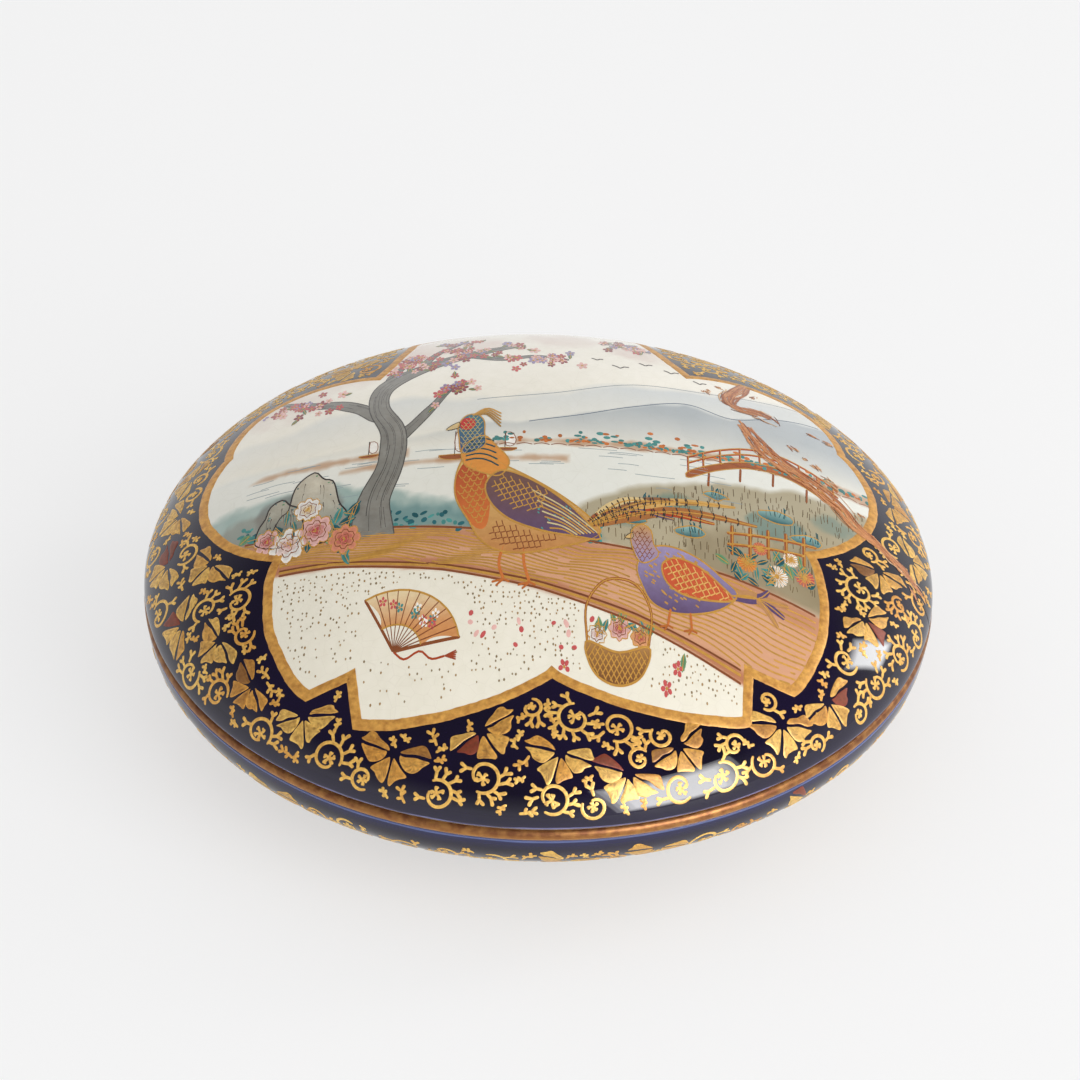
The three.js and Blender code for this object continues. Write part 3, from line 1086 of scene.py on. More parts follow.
def scales(outline, size, tint, heading, width=0.17):
    """Rows of gold feather scales inside an outline, their open sides towards heading."""
    outline = np.asarray(outline)
    middle = outline.mean(0)
    local = turned_by(outline - middle, -heading)
    low, high = local.min(0), local.max(0)
    for row, x in enumerate(np.arange(low[0], high[0], size * 0.72)):
        for y in np.arange(low[1] + (row % 2) * size / 2, high[1], size):
            bow = arc((x, y), (-size * 0.62, size / 2), -90, 90, 6)
            bow = turned_by(bow, heading) + middle
            if depth_inside(outline, bow).min() > 0.5 * width:
                gold_line(bow, width, tint, 1, 0.8)


def shaded(top, foot, low, high):
    """A tint that runs from the colour foot at a low height to the colour top at a high one."""

    def tint(places):
        share = np.clip((places[:, 1:2] - low) / (high - low), 0, 1)
        return foot * (1 - share) + top * share

    return tint


def blossom(x, y, size, tint, heart):
    """Five small petals round a gold dot."""
    start = art_rng.uniform(0, 72)
    for k in range(5):
        angle = math.radians(start + 72 * k)
        cx, cy = x + size * 0.34 * math.cos(angle), y + size * 0.34 * math.sin(angle)
        dab(cx, cy, size * 0.46, size * 0.36, math.degrees(angle), tint)
    dab(x, y, size * 0.24, size * 0.24, 0, heart, work=gilding)


def peony(x, y, size, outer, inner):
    """A full flower of broad petals in three rows, each edged with gold."""
    for ring, (count, reach, petal) in enumerate(((8, 0.36, 0.42), (6, 0.2, 0.34), (3, 0.07, 0.26))):
        share = ring / 2
        tone = outer * (1 - share) + inner * share
        for k in range(count):
            angle = 360 / count * k + ring * 27
            cx = x + size * reach * math.cos(math.radians(angle))
            cy = y + 0.72 * size * reach * math.sin(math.radians(angle))
            light = art_rng.uniform(0.94, 1.05)
            dab(cx, cy, size * petal, size * petal * 0.82, angle, tone * light, tone * 0.8)
            bow = arc((0, 0), (size * petal * 0.46, size * petal * 0.4), -80, 80, 5)
            gold_line(turned_by(bow, angle) + (cx, cy), 0.14, LINE_BROWN if ring else LINE_GOLD, 2)
    for _ in range(5):
        cx, cy = x + art_rng.normal(0, 0.05 * size), y + art_rng.normal(0, 0.04 * size)
        dab(cx, cy, 0.3, 0.3, 0, LINE_GOLD, work=gilding)


def leaf(x, y, heading, length, width, tint):
    """A pointed leaf with a gold rib; heading is in degrees from the right."""
    if not within(x, y, 2):
        return
    share = np.linspace(0, 1, 7)
    half = width / 2 * np.sin(math.pi * share) ** 0.8
    upper, lower = np.stack((share * length, half), 1), np.stack((share * length, -half), 1)
    outline = turned_by(np.vstack((upper, lower[::-1][1:-1])), heading) + (x, y)
    enamel.patch(picture, outline, tint, tint * 0.75, ENAMEL_LIFT + Stage.rise, ENAMEL_BASE + Stage.rise)
    rib = turned_by([(0.1 * length, 0), (0.9 * length, 0.04 * length)], heading) + (x, y)
    gold_line(rib, 0.12, LINE_GOLD, 2)


# far shore: low trees in dabs of teal and rust over a thin line of sand, a bridge, and sails on the lake
for _ in range(190):
    x = art_rng.uniform(-10, 50)
    tint, low, high = (TEAL, 0.7, 1.25) if art_rng.random() < 0.6 else (ORANGE, 0.6, 1.0)
    tint = tint * art_rng.uniform(low, high)
    y = SHORE_HEIGHT + 0.5 + art_rng.exponential(0.55)
    dab(x, y, art_rng.uniform(0.5, 1.3), art_rng.uniform(0.3, 0.7), 0, tint)
for x in np.arange(-9, 50, 2.6):
    gold_line([(x, 2.5), (x + 1.2, 2.75), (x + 2.4, 2.5)], 0.13, LINE_BROWN, 3)
for ridge, width in ((HILLS[:9], 0.16), (FAR_HILLS[1:6], 0.1)):
    line(ridge, width, paint(112, 126, 140), 6)
for _ in range(46):
    x, y = art_rng.uniform(-46, 26), art_rng.uniform(-4.5, 2.2)
    length = art_rng.uniform(2, 6)
    ripple = [(x, y), (x + length * 0.5, y + art_rng.uniform(-0.1, 0.15)), (x + length, y)]
    line(ripple, 0.09, paint(150, 164, 168), 3)
for x, y, size in ((-13, 1.0, 1.0), (-5.5, 1.9, 0.7), (-26, 2.2, 0.6)):
    hull = np.array([(-2.4, 0), (-1.4, -0.7), (1.6, -0.7), (2.6, 0)]) * size + (x, y)
    shape(hull, LINE_BROWN * 1.1, LINE_GOLD, 0.12, steps=2, grain=0.7)
    line([(x, y - 0.2), (x, y + 4.0 * size)], 0.13, INK, 2)
    leech = [(x + 2.0 * size, y + 3.3 * size), (x + 2.2 * size, y + 0.8 * size)]
    sail = [(x + 0.15, y + 3.8 * size), *leech, (x + 0.15, y + 0.6 * size)]
    shape(sail, WHITE, LINE_BROWN, 0.12, steps=2, grain=0.7)
BRIDGE = np.array([(22, 0.2), (26, 2.0), (31, 3.5), (36, 3.7), (41, 2.4), (45, 0.6)])
deck = flow(BRIDGE, 5)
planks = np.vstack((BRIDGE, BRIDGE[::-1] - (0, 1.1)))
shape(planks, LINE_BROWN * 1.25, LINE_GOLD, 0.16, steps=3, grain=0.8)
for rise, width in ((1.3, 0.3), (2.3, 0.36)):
    line(BRIDGE + (0, rise), width, RUST)
    gold_line(BRIDGE + (0, rise + 0.12), 0.14, LINE_GOLD)
for x, y in deck[::3]:
    line([(x, y - 0.4), (x, y + 2.5)], 0.34, RUST * 0.9, 2)
    gold_line([(x + 0.1, y - 0.2), (x + 0.1, y + 2.4)], 0.12, LINE_GOLD, 2)
for x, y in deck[4:-3:5]:
    line([(x, y - 1.2), (x - 0.2, y - 3.4)], 0.36, LINE_BROWN, 2)

# field: rows of fine upright strokes, stones among them, and pads of moss edged with gold
field = np.array(FIELD, float)
for _ in range(620):
    x, y = art_rng.uniform(4, 53), art_rng.uniform(-14, 0)
    if depth_inside(field, [(x, y)])[0] > 0.8:
        tall = art_rng.uniform(0.5, 1.2)
        blade = [(x, y), (x + art_rng.normal(0, 0.08), y + tall)]
        line(blade, 0.11, paint(104, 88, 62) * art_rng.uniform(0.8, 1.5), 2)
PADS = (
    (17, -5.6, 2.7), (35, -4.2, 2.9), (26, -3.0, 2.0), (39.4, -6.4, 2.5), (13.5, -8.0, 2.2),
    (22, -8.8, 2.4),
)
for x, y, reach in PADS:
    pad = np.array(arc((x, y), (reach, 0.3 * reach), 0, 320, 8))
    pad += art_rng.normal(0, 0.12, pad.shape)
    shape(pad, shaded(paint(150, 186, 180), DEEP_TEAL, y - 0.3 * reach, y + 0.3 * reach), LINE_GOLD, 0.15)
    for _ in range(7):
        dx = art_rng.uniform(-0.8, 0.8) * reach
        blade = [(x + dx, y), (x + dx + art_rng.normal(0, 0.3), y + art_rng.uniform(0.8, 1.7))]
        line(blade, 0.16, DEEP_TEAL, 2)
for _ in range(150):
    x = art_rng.uniform(-48, 9)
    y = np.interp(x, *zip(*BANK_TOP)) + art_rng.uniform(-0.2, 2.2)
    dab(x, y, art_rng.uniform(0.5, 1.2), art_rng.uniform(0.35, 0.7), art_rng.uniform(-30, 30),
        (TEAL if art_rng.random() < 0.5 else DEEP_TEAL) * art_rng.uniform(0.8, 1.3))

# bank: combed gold lines that run along it in shallow chevrons, with a rail of darker lines at its foot
bank_x = np.arange(-54, 52, 0.8)
bank_high = np.interp(bank_x, *zip(*BANK_TOP))
bank_low = np.interp(bank_x, *zip(*BANK_FOOT[::-1]))
for share in np.arange(0.06, 0.86, 0.058):
    wave = 0.55 * np.abs((bank_x / 7.5 + share * 1.2) % 2 - 1) + 0.14 * np.sin(bank_x / 1.9 + 9 * share)
    height = bank_high + (bank_low - bank_high) * share + wave - 0.35
    breaks = [0, *sorted(art_rng.integers(4, len(bank_x) - 4, 3)), len(bank_x)]
    for first, last in zip(breaks, breaks[1:]):
        if last - first > 5:
            combed = np.stack((bank_x[first:last - 1], height[first:last - 1]), 1)
            gold_line(combed, 0.19, LINE_GOLD * art_rng.uniform(0.85, 1.1), 1)
for share, width, tint in (
    (0.0, 0.26, LINE_BROWN), (0.885, 0.22, LINE_BROWN * 0.8),
    (0.93, 0.3, LINE_GOLD), (1.0, 0.26, LINE_BROWN),
):
    gold_line(np.stack((bank_x, bank_high + (bank_low - bank_high) * share), 1), width, tint, 1)

# tree: a leaning grey trunk with bark drawn in ink, and clouds of blossom
TRUNK = [
    (-24.4, -10.2), (-24.6, -5), (-22.6, 0.4), (-22.4, 5.6), (-25.0, 10.6), (-24.2, 15.2),
    (-18.6, 19.2), (-11.4, 22.2), (-4.6, 24.6),
]
TRUNK_WIDTHS = (6.2, 4.6, 4.0, 3.6, 3.2, 2.7, 2.2, 1.6, 0.9)


def limb(path, widths, lines):
    """A limb of the tree, its bark shaded and drawn with lines along it."""
    curve = flow(path, 5)
    gone = np.linspace(0, 1, len(curve))
    half = np.interp(gone, np.linspace(0, 1, len(widths)), widths) / 2
    side = sideways(curve)
    bumpy = half * (1 + 0.12 * np.sin(gone * 23))
    edges = (curve + side * bumpy[:, None], curve - side * half[:, None])
    outline = np.vstack((edges[0], edges[1][::-1]))

    def bark(places):
        return BARK * (0.8 + 0.4 * mottle(places, 1.6, wash_rng, 2))[:, None]

    enamel.fill(picture, outline, bark, FILL_LIFT + Stage.rise, 0.8)
    for edge in edges:
        line(edge, 0.2, BARK_DARK, 1)
    for _ in range(lines):
        first = art_rng.integers(0, len(curve) - 6)
        last = min(len(curve) - 1, first + art_rng.integers(4, 12))
        aside = art_rng.uniform(-0.75, 0.75)
        grain = curve[first:last] + side[first:last] * (half[first:last] * aside)[:, None]
        line(grain, 0.11, BARK_DARK * art_rng.uniform(0.8, 1.5), 1)
    return curve


limbs = []
Stage.rise = BRANCH_RISE
for path, widths, lines in (
    ([(-24.6, 9.0), (-30, 12.4), (-35.5, 14.2), (-41, 17.0)], (2.4, 1.8, 1.2, 0.5), 8),
    ([(-24.4, 13.6), (-23.6, 17.4), (-21.9, 20.2), (-20.6, 22.0)], (1.8, 1.3, 0.8, 0.3), 5),
    ([(-19.4, 18.6), (-17.0, 23.0), (-13.0, 26.6)], (1.4, 1.0, 0.4), 3),
    ([(-12.0, 22.0), (-6.6, 20.6), (-1.0, 21.4), (4.0, 20.6)], (1.2, 0.9, 0.6, 0.3), 3),
    ([(-22.4, 3.6), (-17.8, 8.6), (-14.4, 13.4), (-12.0, 15.4)], (2.0, 1.4, 0.8, 0.3), 5),
):
    limbs.append(limb(path, widths, lines))
Stage.rise = TRUNK_RISE
limbs.insert(0, limb(TRUNK, TRUNK_WIDTHS, 34))
Stage.rise = BLOSSOM_RISE
blossom_spots = []
for curve, (first, count) in zip(limbs, ((30, 34), (8, 30), (8, 30), (6, 16), (6, 24), (9, 14))):
    for _ in range(count):
        x, y = curve[art_rng.integers(first, len(curve))]
        blossom_spots.append((x + art_rng.normal(0, 2.1), y + art_rng.normal(0, 1.15)))
for x, y in ((24, 24), (18, 26), (30, 22.4), (12, 27.4)):
    line([(x + 5, y + 1.6), (x + 1, y + 0.4), (x - 3, y - 0.6)], 0.4, BARK_DARK, 4)
    blossom_spots += [(x + art_rng.normal(0, 2.6), y + art_rng.normal(0, 0.9)) for _ in range(13)]
BLOSSOM_TINTS = (ROSE, ROSE * 0.8, PALE_ROSE, paint(150, 62, 66), LILAC, PALE_ROSE)
for x, y in blossom_spots:
    size, tint = art_rng.uniform(1.1, 1.7), BLOSSOM_TINTS[art_rng.integers(6)]
    blossom(x, y, size, tint * art_rng.uniform(0.9, 1.08), LINE_GOLD)
    if art_rng.random() < 0.35:
        leaf(x, y - 0.3, art_rng.uniform(0, 360), 1.5, 0.6, LEAF_GREEN * 0.7)

# rocks and peonies at the tree's foot: the rocks pale at the top, with folds in ink and moss in dabs
FOLD_WIDTHS = (0.3, 0.2, 0.14, 0.1, 0.08, 0.08, 0.08, 0.06, 0.06)
Stage.rise = ROCK_RISE
TALL_ROCK = [
    (-39.6, -8.6), (-38.6, -5.2), (-37.4, -4.4), (-36.6, -1.0), (-34.0, 0.8), (-32.4, -0.6),
    (-30.9, -1.2), (-29.8, -4.6), (-28.6, -6.0), (-28.2, -8.8), (-33, -9.8),
]
LOW_ROCK = [
    (-42.0, -8.0), (-41.6, -5.8), (-40.8, -4.8), (-40.2, -3.2), (-38.4, -2.5), (-37.2, -3.6),
    (-35.8, -4.4), (-34.8, -7.4), (-35.4, -9.0), (-39, -9.2),
]
for outline, tone in ((TALL_ROCK, 1.0), (LOW_ROCK, 0.84)):
    def stone(places, tone=tone):
        share = np.clip((places[:, 1:2] + 10) / 9, 0, 1) ** 0.8
        stained = 0.75 + 0.5 * mottle(places, 1.7, wash_rng)[:, None]
        return (paint(88, 106, 104) * (1 - share) + paint(206, 198, 178) * share) * tone * stained

    curve = shape(outline, stone, INK, 0.22, grain=0.55, steps=3)
    low, high = curve.min(0), curve.max(0)
    for _ in range(26):
        x, y = low + art_rng.uniform(0.12, 0.88, 2) * (high - low)
        lean = 0.5 * (x - (low[0] + high[0]) / 2)
        fold = [(x, y), (x + 0.25 * lean, y - 0.7), (x + 0.2 * lean, y - art_rng.uniform(1.2, 2.2))]
        if depth_inside(curve, fold).min() > 0.3:
            line(fold, FOLD_WIDTHS, INK * art_rng.uniform(1.2, 2.4))
    for _ in range(46):
        x, y = low + art_rng.uniform(0, 1, 2) * (high - low)
        if 0.1 < depth_inside(curve, [(x, y)])[0] < 1.1:
            dab(x, y, art_rng.uniform(0.3, 0.6), art_rng.uniform(0.25, 0.4), 0,
                (TEAL, DEEP_TEAL, LEAF_GREEN)[art_rng.integers(3)] * art_rng.uniform(0.8, 1.2))
    Stage.rise += 0.006
Stage.rise = PEONY_RISE
for _ in range(60):
    x, y = art_rng.uniform(-46, -26), art_rng.uniform(-11.4, -6.4)
    leaf(x, y, art_rng.uniform(0, 360), art_rng.uniform(1.8, 2.8), art_rng.uniform(0.8, 1.2),
         LEAF_TINTS[art_rng.integers(3)] * art_rng.uniform(0.85, 1.15))
for x, y, size, outer, inner in (
    (-40.2, -8.0, 3.6, PALE_ROSE, ROSE), (-37.0, -9.2, 5.2, WHITE, PALE_ROSE),
    (-33.0, -8.0, 4.8, PALE_ROSE, ROSE), (-28.6, -9.8, 4.4, paint(232, 150, 120), ROSE),
    (-34.4, -4.8, 3.8, WHITE, paint(240, 206, 140)),
):
    peony(x, y, size, outer, inner)
    Stage.rise += 0.003

# fence and chrysanthemums at the right
Stage.rise = FENCE_RISE
FENCE = np.array([(27.5, -10.6), (34, -10.0), (41, -9.6), (48, -9.4)])
for rise in (1.1, 2.6):
    line(FENCE + (0, rise), 0.4, LINE_BROWN * 1.3)
    gold_line(FENCE + (0, rise + 0.1), 0.16)
for x in np.arange(28.2, 48, 2.7):
    y = float(np.interp(x, FENCE[:, 0], FENCE[:, 1]))
    line([(x, y - 0.3), (x + 0.1, y + 3.7)], 0.52, LINE_BROWN * 1.15, 2)
    gold_line([(x + 0.1, y - 0.2), (x + 0.2, y + 3.6)], 0.16, LINE_GOLD, 2)
    for knot in (1.1, 2.6):
        gold_line([(x - 0.35, y + knot - 0.1), (x + 0.45, y + knot + 0.15)], 0.22, LINE_GOLD, 2)
for _ in range(46):
    x, y, heading = art_rng.uniform(27, 45), art_rng.uniform(-14.2, -10.2), art_rng.uniform(20, 160)
    length, width = art_rng.uniform(1.4, 2.4), art_rng.uniform(0.6, 1.0)
    leaf(x, y, heading, length, width, LEAF_TINTS[art_rng.integers(3)])
for x, y, size, tint in (
    (30.4, -11.4, 3.0, ORANGE), (34.8, -12.2, 3.4, WHITE), (39.0, -11.4, 3.0, ROSE),
    (43.0, -12.0, 2.8, paint(236, 200, 110)), (37.0, -9.6, 2.4, WHITE), (32.4, -9.2, 2.2, ROSE),
):
    for ring, petals in ((1.0, 16), (0.62, 12)):
        for k in range(petals):
            angle = math.radians(360 / petals * k + 11 * ring)
            reach = 0.5 * size * ring
            tip = np.array((x + reach * math.cos(angle), y + 0.78 * reach * math.sin(angle)))
            root = np.array((x, y)) + (tip - (x, y)) * 0.3
            line([root, tip], (0.2, 0.44), tint * (1.0 if ring == 1 else 0.88), 1)
            gold_line([root, tip], 0.1, LINE_GOLD, 1)
    dab(x, y, 0.7, 0.6, 0, LINE_GOLD, work=gilding)


# birds: a cock pheasant on the bank and a hen beside it, feather by feather
def posed(bird, points):
    """Points of a bird's drawing, put at its spot in the picture at its size."""
    spot, size = bird
    return np.asarray(points, float) * size + spot


COCK = ((-4.0, -16.4), 1.22)
Stage.rise = COCK_RISES["tail"]
for end, width, tint in (
    ((29.6, 8.3), 1.3, paint(172, 112, 62)), ((27.0, 10.0), 1.2, paint(214, 170, 100)),
    ((24.4, 7.6), 1.1, RUST), ((22.4, 9.6), 1.3, paint(150, 104, 70)), ((19.4, 7.4), 1.1, PLUM),
    ((17.6, 9.2), 1.2, paint(222, 196, 140)), ((15.0, 7.2), 1.0, paint(168, 96, 60)),
):
    root = (8.4 + end[0] * 0.01, 5.6)
    middle = ((root[0] + end[0]) / 2, (root[1] + end[1]) / 2 + 1.3)
    feather = flow(posed(COCK, [root, middle, end]), 14)
    widths = np.interp(np.linspace(0, 1, len(feather)), (0, 0.3, 1), (0.8, width * 1.25, 0.35))
    line(feather, widths, tint, 1)
    gold_line(feather, 0.16, LINE_GOLD, 1)
    way, side = np.gradient(feather, axis=0), sideways(feather)
    for k in range(3, len(feather) - 2, 2):
        bar = feather[k] + np.array([[-0.42], [0.0], [0.42]]) * width * side[k]
        bar += np.array([[0.25], [0.0], [0.25]]) * -way[k]
        gold_line(bar, 0.2, INK * 1.4, 1)
Stage.rise = COCK_RISES["legs"]
for hip, knee, foot in (((-1.0, 3.4), (-1.5, 1.6), (-0.9, 0.0)), ((1.4, 3.2), (1.5, 1.5), (2.2, -0.3))):
    leg = posed(COCK, [hip, knee, foot])
    line(leg, 0.42, ORANGE * 0.85)
    for dx, dy in ((-1.7, -0.35), (-1.1, -0.8), (0.9, -0.35)):
        line([leg[-1], leg[-1] + (dx, dy)], 0.26, ORANGE * 0.75, 2)
Stage.rise = COCK_RISES["body"]
body = posed(COCK, [
    (-5.2, 6.0), (-6.9, 8.6), (-7.1, 11.2), (-6.3, 13.6), (-4.6, 14.8), (-1.6, 12.9), (2.2, 11.0),
    (5.8, 9.0), (8.8, 7.0), (10.6, 5.2), (8.6, 4.0), (5.2, 3.2), (1.6, 2.6), (-1.8, 2.9), (-4.0, 4.2),
])
shape(body, shaded(paint(224, 196, 122), paint(196, 132, 76), -14, 2), LINE_GOLD, 0.24)
Stage.rise = COCK_RISES["breast"]
breast = posed(COCK, [
    (-4.8, 5.6), (-6.8, 8.7), (-7.0, 11.4), (-5.6, 13.4), (-3.4, 11.6), (-2.8, 8.2), (-3.2, 5.4),
])
breast_curve = shape(breast, shaded(RUST, ORANGE, -12, 0), None)
scales(breast_curve, 1.05, LINE_GOLD, 100)
belly = posed(COCK, [
    (-3.0, 4.4), (-2.4, 6.6), (1.0, 5.4), (5.0, 4.8), (8.2, 4.6), (5.0, 3.4), (1.4, 2.8), (-1.6, 3.1),
])
scales(ring_flow(belly, 4), 0.95, LINE_BROWN, 150)
Stage.rise = COCK_RISES["cape"]
cape = posed(COCK, [
    (-6.2, 13.0), (-6.4, 15.2), (-4.0, 16.8), (-2.4, 15.4), (-0.6, 13.2), (-1.6, 11.4), (-3.4, 11.6),
    (-5.0, 12.2),
])
shape(cape, paint(226, 150, 66), LINE_GOLD, 0.2)
sweep = np.linspace(0, 1, 5)[:, None]
for k in range(5):
    bar = posed(COCK, (-6.0, 13.4 + 0.55 * k)) + sweep * np.array((5.0 - 0.2 * k, -1.0 + 0.35 * k))
    bar += np.sin(sweep * math.pi) * (0, 0.7)
    gold_line(bar, 0.24, DEEP_TEAL * 0.7, 1)
Stage.rise = COCK_RISES["neck"]
neck = posed(COCK, [
    (-6.5, 14.4), (-6.9, 16.4), (-7.1, 18.2), (-6.3, 19.7), (-4.9, 20.0), (-3.9, 18.9), (-3.8, 17.0),
    (-3.6, 15.6), (-4.8, 14.6),
])
shape(neck, shaded(paint(64, 116, 132), paint(72, 78, 130), 0, 7), LINE_GOLD, 0.2, grain=0.7)
scales(ring_flow(neck, 4), 0.7, paint(206, 190, 120), 90, 0.13)
Stage.rise = COCK_RISES["face"]
cheek = posed(COCK, [(-6.9, 18.6), (-6.3, 19.4), (-5.2, 19.2), (-5.0, 18.2), (-5.9, 17.6), (-6.7, 17.9)])
shape(cheek, paint(200, 48, 40), None, grain=0.6)
eye = posed(COCK, (-5.9, 18.7))
dab(*eye, 0.5, 0.5, 0, WHITE, INK)
dab(*eye, 0.26, 0.26, 0, INK, work=gilding)
beak = posed(COCK, [(-7.0, 18.9), (-8.5, 18.0), (-8.4, 17.7), (-7.0, 18.0)])
shape(beak, paint(222, 196, 140), INK, 0.12, steps=2, grain=0.5)
for k in range(5):
    crest = posed(COCK, [(-5.4 + 0.2 * k, 19.8), (-3.6, 20.9 - 0.25 * k), (-1.8, 20.0 - 0.5 * k)])
    gold_line(crest, 0.24, LINE_GOLD * (1.1 - 0.1 * k))
Stage.rise = COCK_RISES["wing"]
wing = posed(COCK, [
    (-3.4, 10.4), (-1.6, 12.0), (1.8, 11.0), (5.6, 8.8), (8.4, 6.6), (10.6, 4.4), (7.4, 4.5),
    (3.4, 5.0), (-0.4, 6.2), (-2.8, 8.2),
])
shape(wing, shaded(paint(120, 88, 78), PLUM, -12, -3), LINE_GOLD, 0.26)
coverts = [(-3.2, 10.2), (-1.6, 11.7), (1.8, 10.8), (4.4, 9.2), (3.6, 7.0), (0.6, 7.0), (-2.2, 8.4)]
scales(ring_flow(posed(COCK, coverts), 4), 0.95, LINE_GOLD, 160, 0.2)
for k in range(8):
    start = posed(COCK, (2.2 + 0.32 * k, 9.6 - 0.62 * k))
    end = posed(COCK, (10.2 - 0.4 * k, 5.0 - 0.06 * k))
    quill = [start, (start + end) / 2 + (0.1, 0.3), end]
    gold_line(quill, 0.2, LINE_GOLD if k % 2 else paint(232, 214, 160))
for _ in range(16):
    x, y = posed(COCK, (art_rng.uniform(3.0, 8.0), art_rng.uniform(5.2, 7.8)))
    dab(x, y, 0.6, 0.3, -35, TEAL * 1.2)

HEN = ((20.5, -20.0), 1.02)
Stage.rise = HEN_RISES["tail"]
for k, end in enumerate(((15.6, 4.4), (15.0, 3.0), (14.0, 1.8), (12.8, 5.6))):
    feather = flow(posed(HEN, [(6.6, 4.0), (11.0, 4.4), end]), 8)
    widths = np.interp(np.linspace(0, 1, len(feather)), (0, 0.4, 1), (0.9, 1.3, 0.5))
    line(feather, widths, (paint(190, 140, 92), PLUM)[k % 2], 1)
    gold_line(feather, 0.14, LINE_GOLD, 1)
Stage.rise = HEN_RISES["body"]
hen_body = posed(HEN, [
    (-5.4, 3.6), (-6.2, 5.6), (-5.2, 7.6), (-3.2, 8.6), (-0.4, 8.6), (3.0, 7.6), (6.2, 5.8),
    (8.2, 4.4), (6.4, 2.6), (3.0, 1.4), (-1.0, 1.0), (-4.0, 1.8),
])
hen_curve = shape(hen_body, shaded(LILAC, PLUM, -19, -12), LINE_GOLD, 0.22)
for _ in range(130):
    x, y = hen_curve.min(0) + art_rng.random(2) * (hen_curve.max(0) - hen_curve.min(0))
    if depth_inside(hen_curve, [(x, y)])[0] > 0.5:
        gold_line([(x, y), (x + 0.5, y - 0.22)], 0.2, LINE_GOLD, 1)
Stage.rise = HEN_RISES["wing"]
hen_wing = posed(HEN, [
    (-2.6, 6.4), (-0.6, 7.4), (2.6, 6.8), (5.8, 5.0), (7.6, 3.6), (4.0, 3.0), (0.4, 3.2), (-2.0, 4.4),
])
hen_wing_curve = shape(hen_wing, paint(206, 92, 56), LINE_GOLD, 0.24)
scales(hen_wing_curve, 0.9, paint(240, 196, 110), 165, 0.18)
Stage.rise = HEN_RISES["head"]
hen_head = posed(HEN, [
    (-5.8, 6.4), (-7.0, 8.6), (-6.8, 10.4), (-5.4, 11.2), (-4.1, 10.4), (-3.8, 8.8), (-3.0, 7.6),
    (-4.2, 6.6),
])
shape(hen_head, shaded(paint(196, 150, 100), LILAC, -13, -9), LINE_GOLD, 0.18, grain=0.7)
scales(ring_flow(hen_head, 4), 0.7, LINE_BROWN, 90, 0.12)
dab(*posed(HEN, (-5.8, 9.9)), 0.4, 0.4, 0, INK)
hen_beak = posed(HEN, [(-6.8, 10.0), (-8.0, 9.2), (-6.7, 9.2)])
shape(hen_beak, paint(214, 180, 120), INK, 0.1, steps=2, grain=0.5)
for hip, foot in (((-1.4, 1.4), (-1.8, -0.4)), ((1.4, 1.3), (1.6, -0.5))):
    leg = posed(HEN, [hip, foot])
    line(leg, 0.34, ORANGE * 0.8, 2)
    for dx, dy in ((-1.2, -0.3), (-0.5, -0.6), (0.8, -0.25)):
        line([leg[-1], leg[-1] + (dx, dy)], 0.22, ORANGE * 0.7, 2)

# front: a woven basket of peonies on the plain ground
Stage.rise = 0.0
BASKET = np.array((11.5, -25.6))
for x, y, size, outer, inner in (
    (-3.0, 3.4, 2.6, WHITE, PALE_ROSE), (0.2, 4.2, 3.0, PALE_ROSE, ROSE),
    (3.2, 3.5, 2.6, paint(236, 170, 120), ROSE),
):
    for k in range(5):
        spot = BASKET + (x + art_rng.normal(0, 0.7), y)
        leaf(*spot, art_rng.uniform(10, 170), 2.0, 0.8, (LEAF_GREEN, TEAL)[k % 2])
    peony(*(BASKET + (x, y)), size, outer, inner)
Stage.rise = BASKET_RISE
rim = np.array([(-4.6, 2.6), (-3.4, -0.4), (0, -1.5), (3.4, -0.4), (4.6, 2.6), (0, 1.7)]) + BASKET
basket_curve = shape(rim, shaded(paint(176, 130, 76), paint(132, 88, 52), -26, -23), LINE_GOLD, 0.24)
for lean in (-38, 38):
    for step in np.arange(-6, 6.1, 0.62):
        weave = turned_by([(step, -3), (step, -1), (step, 1), (step, 3)], lean) + BASKET + (0, 0.6)
        dense = flow(weave, 6)
        inside = depth_inside(basket_curve, dense) > 0.1
        if inside.sum() > 2:
            gold_line(dense[inside], 0.15, LINE_GOLD, 1)
handle = np.array([
    (-4.4, 2.6), (-4.6, 6.4), (-2.4, 9.2), (0.4, 9.8), (3.0, 9.0), (4.8, 6.2), (4.4, 2.6),
]) + BASKET
line(handle, 0.36, LINE_BROWN * 1.2)
gold_line(handle, 0.15)
for x, y, lean in ((7.6, -1.4, 20), (-7.0, -0.4, 160), (9.2, 0.6, 80)):
    leaf(*(BASKET + (x, y)), lean, 2.0, 0.8, LEAF_GREEN)
    blossom(*(BASKET + (x - 0.6, y + 0.3)), 1.5, ROSE, LINE_GOLD)

# front: an open folding fan with a tasselled cord
Stage.rise = 0.0
FAN_PIVOT, FAN_REACH, FAN_STICKS = np.array((-20.5, -23.6)), (9.4, 6.6), 12
PAPER_START = 0.42  # share of the sticks that the paper leaves bare
fan_rays = np.array(arc((0, 0), FAN_REACH, 8, 118, FAN_STICKS - 1))
paper = np.vstack((FAN_PIVOT + fan_rays, (FAN_PIVOT + fan_rays * PAPER_START)[::-1]))
enamel.fill(picture, paper, shaded(paint(240, 222, 180), paint(216, 150, 92), -21, -17), FILL_LIFT, 0.8)
gold_line(FAN_PIVOT + fan_rays, 0.24, LINE_GOLD, 1)
gold_line(FAN_PIVOT + fan_rays * PAPER_START, 0.2, LINE_GOLD, 1)
for ray in fan_rays:
    gold_line([FAN_PIVOT, FAN_PIVOT + ray], 0.13, LINE_BROWN, 1)
